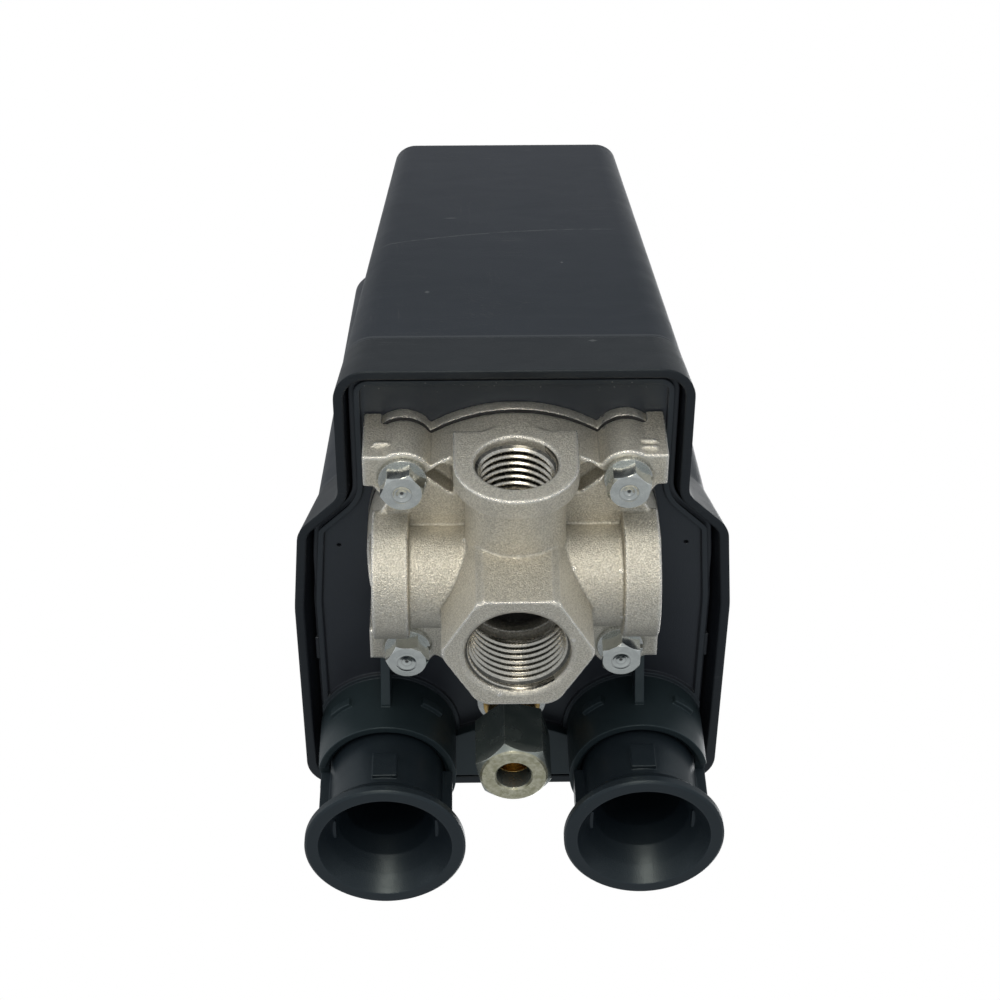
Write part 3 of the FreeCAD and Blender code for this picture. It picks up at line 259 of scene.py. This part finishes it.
def black_plastic(name, tone, rough_low, rough_high, grain_depth, edge=0.35, marks=None):
    """Injection-moulded black plastic: a fine eroded grain, faint flow clouds, dust and pale corners.

    marks is a function that adds one piece's own marks, and on the cover painted light too, and returns
    the new colour.
    """
    look = Look(name, specular=0.5)
    look.shader.inputs["Specular Tint"].default_value = (0.80, 0.93, 1.0, 1)
    cloud = look.noise(0.05, detail=3.0, rough=0.5)
    grain = look.noise(5.0, detail=1.0)
    smear = look.noise(0.11, detail=3.0, stretch=(1, 1, 3.0), distortion=0.6)
    corner = look.edges(edge)
    colour = look.mix(look.span(cloud, 0.3, 0.7), tone, tuple(c * 1.15 for c in tone))
    colour = look.tint(colour, corner, 0.5, tuple(c * 2.2 for c in tone))
    dust = look.span(look.cells(0.42), 0.0, 0.05, 1.0, 0.0)
    thin = look.span(look.noise(0.4), 0.56, 0.62)
    colour = look.tint(colour, look.math("MULTIPLY", dust, thin), 0.6, (0.22, 0.22, 0.21))
    look.rough = look.span(smear, 0.3, 0.72, rough_low, rough_high)
    look.add_height(grain, grain_depth)
    look.add_height(cloud, 0.02)
    if marks:
        colour = marks(look, colour)
    return look.finish(colour, look.rough, look.rounded)


def cover_marks_and_painted_light(look, colour):
    """The cover's marks and painted light: a painted paler top, painted shade on the skirt below a crease,
    a painted highlight line just above the crease, and scratches and nicks.
    """
    across, up = look.axis("X"), look.axis("Z")
    behind = look.span(look.axis("Y"), -24.0, -25.0)
    crease = 43.9
    # painted light: the cover grows paler towards its top, where the light falls
    colour = look.mix(look.span(up, 60.0, 108.0, 0.0, 0.9), colour, (0.0230, 0.0245, 0.0340))
    # painted shade: the flared skirt below the crease is darkened
    skirt = look.span(up, crease - 0.2, crease + 0.2, 1.0, 0.0)
    colour = look.tint(colour, skirt, 0.9, (0.0045, 0.0052, 0.0085))
    look.add_height(look.line(up, crease, 0.06, 0.10), -0.06)
    # painted highlight: a pale line just above the crease
    colour = look.tint(colour, look.line(up, crease + 0.45, 0.10, 0.22), 0.30, (0.10, 0.105, 0.115))

    # one long scratch across the back, which sags and wanders about a slanted line
    sag = look.product(across, across, -0.00358)
    level = look.math("ADD", look.math("ADD", sag, look.math("MULTIPLY", across, 0.104)), 77.27)
    wander = look.math("MULTIPLY", look.math("SUBTRACT", look.noise(0.35, detail=2.0), 0.5), 0.35)
    away = look.math("ABSOLUTE", look.math("SUBTRACT", look.math("ADD", up, wander), level))
    scratch = look.span(away, 0.03, 0.13, 1.0, 0.0)
    reach = look.span(look.math("ABSOLUTE", look.math("ADD", across, 2.3)), 19.0, 21.0, 1.0, 0.0)
    broken = look.span(look.noise(0.5, detail=3.0), 0.40, 0.55, 0.25, 1.0)
    scratch = look.product(scratch, reach, broken, behind)
    colour = look.tint(colour, scratch, 0.30, (0.20, 0.21, 0.22))
    look.add_height(scratch, -0.010)

    # nicks: where each one is across and up the back, and its half length and half height
    nicks = [
        (-10.2, 82.1, 1.4, 0.16),
        (-14.2, 57.9, 0.5, 0.45),
        (8.9, 67.1, 0.3, 0.3),
        (13.0, 42.7, 0.8, 0.4),
    ]
    for x, z, half_long, half_tall in nicks:
        out_x = look.math("DIVIDE", look.math("ABSOLUTE", look.math("SUBTRACT", across, x)), half_long)
        out_z = look.math("DIVIDE", look.math("ABSOLUTE", look.math("SUBTRACT", up, z)), half_tall)
        nick = look.math("MULTIPLY", look.span(look.math("ADD", out_x, out_z), 0.7, 1.1, 1.0, 0.0), behind)
        colour = look.tint(colour, nick, 0.28, (0.20, 0.21, 0.22))
        look.add_height(nick, -0.03)

    # hairlines in patches, each set running along the axis that its pattern is stretched on
    for turn, stretch in enumerate(((0.04, 1.6, 1.6), (1.6, 1.6, 0.05), (0.22, 1.9, 0.6))):
        streak = look.noise(0.55 + 0.13 * turn, detail=2.0, stretch=stretch, distortion=0.15)
        hair = look.line(streak, 0.5, 0.0015, 0.003)
        patch = look.span(look.noise(0.06 + 0.01 * turn), 0.55, 0.64)
        mark = look.math("MULTIPLY", hair, patch)
        colour = look.tint(colour, mark, 0.22, (0.10, 0.10, 0.105))
        look.add_height(mark, -0.008)
        look.rough = look.math("ADD", look.rough, look.math("MULTIPLY", mark, 0.10))
    return colour


def base_marks(look, colour):
    """The base's flat plate is a cooler black than its deep sockets, and dusty along its back edge."""
    plate_level = 34.9
    plate = look.span(look.axis("Z"), plate_level - 0.5, plate_level)
    colour = look.mix(plate, colour, (0.0225, 0.0250, 0.0330))
    back = look.span(look.axis("Y"), -25.0, -27.0)
    speck = look.span(look.cells(1.1), 0.11, 0.18, 1.0, 0.0)
    thin = look.span(look.noise(0.9), 0.50, 0.58)
    dust = look.product(speck, thin, plate, back)
    return look.tint(colour, dust, 0.7, (0.24, 0.24, 0.23))


def rubber(name):
    """Matte black rubber with a dusty bloom."""
    look = Look(name, specular=0.3)
    bloom = look.noise(0.25, detail=4.0)
    fine = look.noise(4.0, detail=2.0)
    colour = look.mix(look.span(bloom, 0.3, 0.75), (0.012, 0.012, 0.013), (0.028, 0.028, 0.030))
    look.add_height(fine, 0.03)
    return look.finish(colour, look.span(bloom, 0.3, 0.7, 0.62, 0.8))


def plated_steel(name, tone, rough_low=0.18, rough_high=0.34, tint=None):
    """Zinc-plated steel: blotchy passivation, fine handling marks and bright edges."""
    look = Look(name, metallic=1.0)
    blotch = look.noise(0.35, detail=5.0, rough=0.62)
    fine = look.noise(2.6, detail=3.0, rough=0.6)
    corner = look.edges(0.15)
    other = tint or tuple(c * 0.78 for c in tone)
    colour = look.mix(look.span(blotch, 0.38, 0.66), tone, other)
    colour = look.mix(look.span(fine, 0.60, 0.78, 0.0, 0.4), colour, tuple(c * 0.55 for c in tone))
    colour = look.tint(colour, corner, 0.6, tuple(min(c * 1.25, 0.95) for c in tone))
    rough = look.span(fine, 0.3, 0.7, rough_low, rough_high)
    look.add_height(fine, 0.010)
    look.add_height(blotch, 0.012)
    return look.finish(colour, rough, look.rounded)


def bolt_steel():
    """Zinc-plated bolts: turned rings and a dark centre mark on each head."""
    look = Look("bolt_steel", metallic=1.0)
    low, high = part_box("flange_bolts")
    middle = (low + high) / 2 / MM
    head_half = 3.6
    squares = []
    for axis, centre, size in (("X", middle.x, high.x - low.x), ("Y", middle.y, high.y - low.y)):
        aside = look.math("ABSOLUTE", look.math("SUBTRACT", look.axis(axis), centre))
        off_bolt = look.math("SUBTRACT", aside, size / 2 / MM - head_half)
        squares.append(look.product(off_bolt, off_bolt))
    squares = look.math("ADD", *squares)
    away = look.math("SQRT", squares)
    wobble = look.noise(0.8, detail=2.0)
    phase = look.math("ADD", look.product(away, 8.5), look.product(wobble, 1.2))
    rings = look.math("SINE", phase)
    rings = look.math("MULTIPLY", rings, look.span(away, 1.9, 2.3, 1.0, 0.0))
    blotch = look.noise(0.7, detail=4.0)
    face = look.span(look.axis("Z"), low.z / MM + 0.5, low.z / MM + 0.7, 1.0, 0.0)
    rings = look.math("MULTIPLY", rings, face)
    colour = look.mix(look.span(blotch, 0.35, 0.7), (0.64, 0.67, 0.66), (0.76, 0.79, 0.77))
    dark = look.math("MULTIPLY", look.span(away, 0.22, 0.38, 1.0, 0.0), face)
    colour = look.mix(dark, colour, (0.05, 0.05, 0.05))
    ring_dark = look.math("MULTIPLY", look.span(rings, 0.3, 1.0), 0.28)
    colour = look.mix(ring_dark, colour, (0.30, 0.31, 0.31))
    corner = look.edges(0.12)
    colour = look.tint(colour, corner, 0.5, (0.86, 0.88, 0.87))
    look.add_height(rings, 0.014)
    look.add_height(look.noise(2.2, detail=3.0), 0.008)
    return look.finish(colour, look.span(blotch, 0.3, 0.7, 0.13, 0.22), look.rounded)


def nut_metal():
    """Dark green-grey passivated nut whose flat end is yellowish and freshly faced."""
    look = Look("nut_metal", metallic=0.72)
    low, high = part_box("unloader_nut")
    blotch = look.noise(0.22, detail=3.0)
    fine = look.noise(2.4, detail=3.0, stretch=(1, 1, 0.15))
    mottle = look.noise(1.1, detail=3.0, rough=0.65)
    front = look.span(look.axis("Z"), low.z / MM + 0.25, low.z / MM + 0.4, 1.0, 0.0)
    flats = look.mix(look.span(blotch, 0.35, 0.7), (0.130, 0.165, 0.160), (0.21, 0.245, 0.235))
    face = look.mix(look.span(mottle, 0.38, 0.62), (0.46, 0.45, 0.31), (0.72, 0.70, 0.55))
    bevel = look.span(look.axis("Z"), low.z / MM + 0.4, low.z / MM + 2.6, 1.0, 0.0)
    colour = look.tint(flats, bevel, 0.55, (0.62, 0.66, 0.62))
    colour = look.mix(front, colour, face)
    corner = look.edges(0.14)
    colour = look.tint(colour, corner, 0.7, (0.80, 0.83, 0.78))
    look.add_height(fine, 0.006)
    look.add_height(look.math("MULTIPLY", mottle, front), 0.016)
    return look.finish(colour, look.span(blotch, 0.3, 0.7, 0.22, 0.30), look.rounded)


def brass(name, tone=(0.72, 0.50, 0.20)):
    """Machined brass with turning marks across its axis and a little tarnish."""
    look = Look(name, metallic=1.0)
    turning = look.noise(1.2, detail=3.0, stretch=(0.2, 0.2, 7.0))
    tarnish = look.noise(0.45, detail=5.0, rough=0.65)
    corner = look.edges(0.2)
    colour = look.mix(look.span(tarnish, 0.45, 0.7), tone, tuple(c * 0.5 for c in tone))
    colour = look.tint(colour, corner, 0.5, tuple(min(1.3 * c, 0.95) for c in tone))
    look.add_height(turning, 0.02)
    return look.finish(colour, look.span(turning, 0.3, 0.7, 0.18, 0.32), look.rounded)


def cut_thread_metal(name, tone, pale):
    """Cut alloy inside the ports, with streaks along the cut."""
    look = Look(name, metallic=1.0)
    streak = look.noise(1.6, detail=4.0, rough=0.65)
    colour = look.mix(look.span(streak, 0.35, 0.65), tone, pale)
    look.add_height(streak, 0.008)
    return look.finish(colour, look.span(streak, 0.3, 0.7, 0.20, 0.32))


def moulded_plastic(name, tone, rough_low, rough_high):
    """Coloured moulded plastic with flow clouds, a fine grain and paler worn corners."""
    look = Look(name)
    cloud = look.noise(0.1, detail=4.0, distortion=0.8)
    grain = look.noise(3.5, detail=2.0)
    corner = look.edges(0.35)
    colour = look.mix(look.span(cloud, 0.3, 0.7), tone, tuple(c * 0.82 for c in tone))
    pointy = tuple(min(1.0, c * 1.3 + 0.02) for c in tone)
    colour = look.tint(colour, corner, 0.3, pointy)
    look.add_height(grain, 0.02)
    return look.finish(colour, look.span(cloud, 0.3, 0.7, rough_low, rough_high), look.rounded)


LOOKS = {
    "cast_metal": cast_metal(port_dark=True),
    "zinc_steel": plated_steel("zinc_steel", (0.64, 0.66, 0.65)),
    "plated_steel": plated_steel("plated_steel", (0.60, 0.58, 0.50), 0.26, 0.42, tint=(0.55, 0.50, 0.34)),
    "dark_steel": plated_steel("dark_steel", (0.06, 0.06, 0.065), 0.35, 0.5),
    "spring_steel": plated_steel("spring_steel", (0.34, 0.34, 0.35), 0.2, 0.36),
    "green_zinc": nut_metal(),
    "brass": brass("brass"),
    "copper": brass("copper", (0.72, 0.38, 0.24)),
    "rubber": rubber("rubber"),
    "black_plastic": black_plastic("black_plastic", (0.0085, 0.0130, 0.0180), 0.30, 0.42, 0.030),
    "cover_plastic": black_plastic(
        "cover_plastic", (0.0105, 0.0125, 0.0195), 0.40, 0.48, 0.022, edge=0.6, marks=cover_marks_and_painted_light
    ),
    "dark_plastic": black_plastic("dark_plastic", (0.014, 0.015, 0.016), 0.4, 0.55, 0.02),
    "cream_plastic": moulded_plastic("cream_plastic", (0.60, 0.52, 0.38), 0.35, 0.5),
    "red_plastic": moulded_plastic("red_plastic", (0.42, 0.022, 0.016), 0.28, 0.4),
}
BOLTS = bolt_steel()
BASE_PLASTIC = black_plastic("base_plastic", (0.0125, 0.0205, 0.0250), 0.36, 0.48, 0.020, marks=base_marks)
RING_METAL = cast_metal("ring_metal", (0.56, 0.55, 0.51), (0.80, 0.78, 0.73))
THREAD_CREST = cut_thread_metal("thread_crest", (0.58, 0.56, 0.51), (0.74, 0.71, 0.65))
# painted shade: a near-black copy of the cut metal, for the faces in the thread's valleys
THREAD_VALLEY_PAINTED_SHADE = cut_thread_metal("thread_valley_painted_shade", (0.09, 0.09, 0.085), (0.15, 0.145, 0.13))


def paint(piece, material):
    """Give a piece one material."""
    piece.data.materials.clear()
    piece.data.materials.append(material)


def shade(piece, angle=32):
    """Smooth shading with edges kept sharp above an angle in degrees."""
    limit = math.radians(angle)
    for face in piece.data.polygons:
        face.use_smooth = True
    shape = bmesh.new()
    shape.from_mesh(piece.data)
    for edge in shape.edges:
        edge.smooth = len(edge.link_faces) == 2 and edge.calc_face_angle(0.0) < limit
    shape.to_mesh(piece.data)
    shape.free()


for part in frame["record"]["subparts"]:
    paint(cad_nodes[part["node"]], LOOKS[part["material_slot"]])
paint(cad_nodes["flange_bolts"], BOLTS)
paint(cad_nodes["base"], BASE_PLASTIC)


# ---- softened castings and mouldings -----------------------------------------------------------------

def mesh_piece(name, verts, faces, material, body):
    """A smooth-shaded piece from its points and faces, riding on a body."""
    mesh = bpy.data.meshes.new(name)
    mesh.from_pydata([tuple(v) for v in verts], [], faces)
    mesh.update()
    piece = bpy.data.objects.new(name, mesh)
    bpy.context.scene.collection.objects.link(piece)
    for face in mesh.polygons:
        face.use_smooth = True
    mesh.materials.append(material)
    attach(piece, body)
    return piece


def add_box(shape, low_mm, high_mm):
    """Add a closed box to a bmesh."""
    low, high = Vector(low_mm) * MM, Vector(high_mm) * MM
    middle, span = (low + high) / 2, high - low
    place = Matrix.Translation(middle) @ Matrix.Diagonal((*span, 1))
    bmesh.ops.create_cube(shape, size=1.0, matrix=place)


def softened(name, node, voxel_mm, passes, material, body, extras=()):
    """A copy of a CAD node whose edges are rounded as a casting's or moulding's are."""
    shape = bmesh.new()
    shape.from_mesh(cad_nodes[node].data)
    bmesh.ops.remove_doubles(shape, verts=shape.verts, dist=0.5e-6)
    for low, high in extras:
        add_box(shape, low, high)
    mesh = bpy.data.meshes.new(name)
    shape.to_mesh(mesh)
    shape.free()
    piece = bpy.data.objects.new(name, mesh)
    bpy.context.scene.collection.objects.link(piece)
    remesh = piece.modifiers.new("rebuild", "REMESH")
    remesh.mode = "VOXEL"
    remesh.voxel_size = voxel_mm * MM
    remesh.use_smooth_shade = True
    smooth = piece.modifiers.new("round", "SMOOTH")
    smooth.factor = 0.5
    smooth.iterations = passes
    evaluated = piece.evaluated_get(bpy.context.evaluated_depsgraph_get())
    rounded = bpy.data.meshes.new_from_object(evaluated)
    piece.modifiers.clear()
    piece.data = rounded
    for face in rounded.polygons:
        face.use_smooth = True
    paint(piece, material)
    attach(piece, body)
    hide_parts(node)
    return piece


# short ledges that stand out from the flange's ears, as low and high corners
ear_ledges = [
    ((-22.7, -21.75, 26.3), (-19.9, -20.9, 27.1)),
    ((19.9, -21.75, 26.6), (22.7, -20.9, 27.3)),
    ((19.9, -21.75, 25.0), (22.7, -20.9, 25.7)),
]
VOXEL_MM = 0.25
softened("manifold_casting", "manifold", VOXEL_MM, 5, LOOKS["cast_metal"], "frame", ear_ledges)
softened("ring_casting", "diaphragm_ring", VOXEL_MM, 3, RING_METAL, "frame")


# ---- springs and seals -------------------------------------------------------------------------------

def squeezed(name, node, body):
    """A copy of a CAD spring or seal with a mesh of its own, riding on a body."""
    original = cad_nodes[node]
    piece = bpy.data.objects.new(name, original.data.copy())
    piece.matrix_world = original.matrix_world.copy()
    bpy.context.scene.collection.objects.link(piece)
    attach(piece, body)
    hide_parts(node)
    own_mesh(piece)
    return piece


def spring_part(name, node, low_mm, high_mm):
    """The part of a CAD spring between two heights, as a piece of its own."""
    shape = bmesh.new()
    shape.from_mesh(cad_nodes[node].data)
    bmesh.ops.remove_doubles(shape, verts=shape.verts, dist=0.5e-6)
    for level, way in ((low_mm, -1), (high_mm, 1)):
        everything = list(shape.verts) + list(shape.edges) + list(shape.faces)
        cut_at, cut_way = (0, 0, level * MM), (0, 0, way)
        bmesh.ops.bisect_plane(
            shape, geom=everything, plane_co=cut_at, plane_no=cut_way, clear_outer=True
        )
    mesh = bpy.data.meshes.new(name)
    shape.to_mesh(mesh)
    shape.free()
    piece = bpy.data.objects.new(name, mesh)
    bpy.context.scene.collection.objects.link(piece)
    paint(piece, LOOKS["spring_steel"])
    shade(piece, 40)
    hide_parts(node)
    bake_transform(piece)
    return piece


# the main spring is cut halfway up into two pieces
spring_part("main_spring_lower_coils", "range_spring", 52.0, 67.3)
spring_part("main_spring_upper_coils", "range_spring", 67.3, 82.5)
spring_part("trim_spring_coils", "differential_spring", 49.0, 62.0)
squeezed("unloader_spring_coil", "unloader_spring", "frame")
for side in ("left", "right"):
    squeezed("cable_seal_soft_" + side, "cable_seal_" + side, "frame")


# ---- cut threads -------------------------------------------------------------------------------------

def thread(name, mouth_mm, inward, bore_mm, crest_mm, long_mm, pitch_mm=1.337):
    """Helical ridge inside a port, from its mouth inwards. bore_mm and crest_mm are radii."""
    inward = Vector(inward)
    across = inward.orthogonal().normalized()
    up = inward.cross(across)
    steps = 96  # in one turn
    turns = long_mm / pitch_mm
    count = int(steps * turns)
    flank = pitch_mm / 2
    # the ridge's outline: distance along the port from its middle, and height towards the axis from 0 to 1
    half = [(0.98, -0.06), (0.80, 0.10), (0.50, 0.49), (0.16, 0.93)]
    outline = [(-shift, height) for shift, height in half] + [(0.0, 1.0)] + half[::-1]
    tall = bore_mm - crest_mm
    verts, faces = [], []
    for i in range(count + 1):
        angle = 2 * math.pi * i / steps
        along = pitch_mm * i / steps
        # the ridge grows out of the bore over 0.6 of a turn at each end
        ends = min(i, count - i) / (0.6 * steps)
        growth = min(1.0, ends) ** 0.7
        radial = across * math.cos(angle) + up * math.sin(angle)
        for shift, height in outline:
            radius = bore_mm - tall * (height * growth if height > 0 else height)
            point = Vector(mouth_mm) + inward * (along + shift * flank) + radial * radius
            verts.append(point * MM)
    ring = len(outline)
    for i in range(count):
        for j in range(ring - 1):
            a = i * ring + j
            faces.append((a, a + 1, a + ring + 1, a + ring))
    piece = mesh_piece(name, verts, faces, THREAD_CREST, "frame")
    piece.data.materials.append(THREAD_VALLEY_PAINTED_SHADE)
    # painted shade: the two strips of faces beside each valley take the near-black material
    for face in piece.data.polygons:
        strip = face.index % (ring - 1)
        from_edge = min(strip, ring - 2 - strip)
        face.material_index = 1 if from_edge < 2 else 0
    return piece


def port_of(mount_name):
    """The face centre in millimetres and the inward direction of one of the record's mounts."""
    mount = next(m for m in frame["record"]["mounts"] if m["name"] == mount_name)
    return Vector(mount["pos_m"]) / MM, -Vector(mount["axis"])


tank_mouth, tank_in = port_of("tank_port")
first_turn = tank_mouth + tank_in * 0.75
thread("tank_thread", first_turn, tank_in, bore_mm=8.33, crest_mm=7.45, long_mm=11.1)

# how far each small port's face is from the switch's axis
face_at = {"gauge_port": 23.4, "side_port_left": 23.2, "side_port_right": 23.2}
for port_name, face_mm in face_at.items():
    centre, port_in = port_of(port_name)
    mouth = Vector((0, 0, centre.z)) - port_in * face_mm
    thread_name = port_name.replace("port", "thread")
    thread(thread_name, mouth + port_in * 0.95, port_in, bore_mm=6.58, crest_mm=5.70, long_mm=9.3)


# ---- floor, light and camera -------------------------------------------------------------------------

def floor():
    """Pale floor under the switch as it stands on its tank port. It shows only from above."""
    mesh = bpy.data.meshes.new("floor")
    half, level = 3.0, -0.0004
    corners = [(-half, -half, level), (half, -half, level), (half, half, level), (-half, half, level)]
    mesh.from_pydata(corners, [], [(0, 1, 2, 3)])
    plane = bpy.data.objects.new("floor", mesh)
    bpy.context.scene.collection.objects.link(plane)
    pale = bpy.data.materials.new("floor")
    pale.use_nodes = True
    tree = pale.node_tree
    shader = tree.nodes["Principled BSDF"]
    shader.inputs["Base Color"].default_value = (0.80, 0.80, 0.79, 1)
    shader.inputs["Roughness"].default_value = 0.7
    clear = tree.nodes.new("ShaderNodeBsdfTransparent")
    mixer = tree.nodes.new("ShaderNodeMixShader")
    side = tree.nodes.new("ShaderNodeNewGeometry")
    tree.links.new(side.outputs["Backfacing"], mixer.inputs[0])
    tree.links.new(shader.outputs[0], mixer.inputs[1])
    tree.links.new(clear.outputs[0], mixer.inputs[2])
    tree.links.new(mixer.outputs[0], tree.nodes["Material Output"].inputs[0])
    mesh.materials.append(pale)
    plane.visible_diffuse = False
    plane.visible_glossy = False
    plane.visible_shadow = False


def world():
    """White studio: plain white where the camera looks past the object, softer as a light source."""
    made = bpy.data.worlds.new("studio")
    bpy.context.scene.world = made
    made.use_nodes = True
    tree = made.node_tree
    seen = tree.nodes["Background"]
    seen.inputs["Color"].default_value = (1, 1, 1, 1)
    seen.inputs["Strength"].default_value = 1.0
    lit = tree.nodes.new("ShaderNodeBackground")
    where = tree.nodes.new("ShaderNodeTexCoord")
    split = tree.nodes.new("ShaderNodeSeparateXYZ")
    tree.links.new(where.outputs["Generated"], split.inputs[0])
    ramp = tree.nodes.new("ShaderNodeMapRange")
    tree.links.new(split.outputs["Y"], ramp.inputs[0])
    near, far, near_strength, far_strength = -0.9, 0.9, 0.56, 0.38
    for socket, number in zip(list(ramp.inputs)[1:5], (near, far, near_strength, far_strength)):
        socket.default_value = number
    tree.links.new(ramp.outputs[0], lit.inputs["Strength"])
    lit.inputs["Color"].default_value = (0.95, 0.985, 1.0, 1)
    path = tree.nodes.new("ShaderNodeLightPath")
    mixer = tree.nodes.new("ShaderNodeMixShader")
    tree.links.new(path.outputs["Is Camera Ray"], mixer.inputs[0])
    tree.links.new(lit.outputs[0], mixer.inputs[1])
    tree.links.new(seen.outputs[0], mixer.inputs[2])
    tree.links.new(mixer.outputs[0], tree.nodes["World Output"].inputs[0])


def lamp(name, towards, distance, size, power, colour=(1, 1, 1), tall=None):
    """A soft light that shines at the switch from a direction. It is square, or tall is its height."""
    light = bpy.data.lights.new(name, "AREA")
    light.energy = power
    light.shape = "RECTANGLE"
    light.size = size
    light.size_y = tall or size
    light.color = colour
    piece = bpy.data.objects.new(name, light)
    aim = Vector((0, 0.01, 0.04))
    piece.location = aim + Vector(towards).normalized() * distance
    piece.rotation_euler = (aim - piece.location).to_track_quat("-Z", "Y").to_euler()
    bpy.context.scene.collection.objects.link(piece)
    piece.visible_camera = False


def camera():
    """The viewpoint: below the switch on its gauge port's side, looking up at the tank port."""
    lens = bpy.data.cameras.new("camera")
    lens.sensor_width = 36.0
    lens.lens = 80.9
    lens.clip_start = 0.01
    view = bpy.data.objects.new("camera", lens)
    bpy.context.scene.collection.objects.link(view)
    place = Vector((-8.2, -238.9, -260.5)) * MM
    forward = Vector((0.0158, 0.6236, 0.7816)).normalized()
    roll = math.radians(0.23)
    side = forward.cross(Vector((0, -1, 0))).normalized()
    up = side.cross(forward)
    right = side * math.cos(roll) + up * math.sin(roll)
    up = right.cross(forward)
    turn = Matrix((right, up, -forward)).transposed().to_4x4()
    view.matrix_world = Matrix.Translation(place) @ turn
    bpy.context.scene.camera = view


floor()
world()
warm = (1.0, 0.93, 0.78)
warmish = (1.0, 0.95, 0.86)
lamp("key", (-0.08, -0.92, -0.40), distance=0.9, size=0.26, power=3.6, colour=warm, tall=0.50)
lamp("front", (0.10, -0.30, -1.0), distance=1.0, size=0.30, power=0.25, colour=warmish)
lamp("left", (-1.0, -0.25, 0.1), distance=0.9, size=0.5, power=0.8)
lamp("right", (1.0, -0.25, 0.1), distance=0.9, size=0.5, power=0.5)
lamp("upper_back", (0.3, 0.9, 0.8), distance=1.0, size=0.7, power=3.0)
lamp("upper", (0.1, 0.3, 1.0), distance=1.0, size=0.7, power=2.0)
camera()
bpy.context.scene.view_settings.view_transform = "Standard"
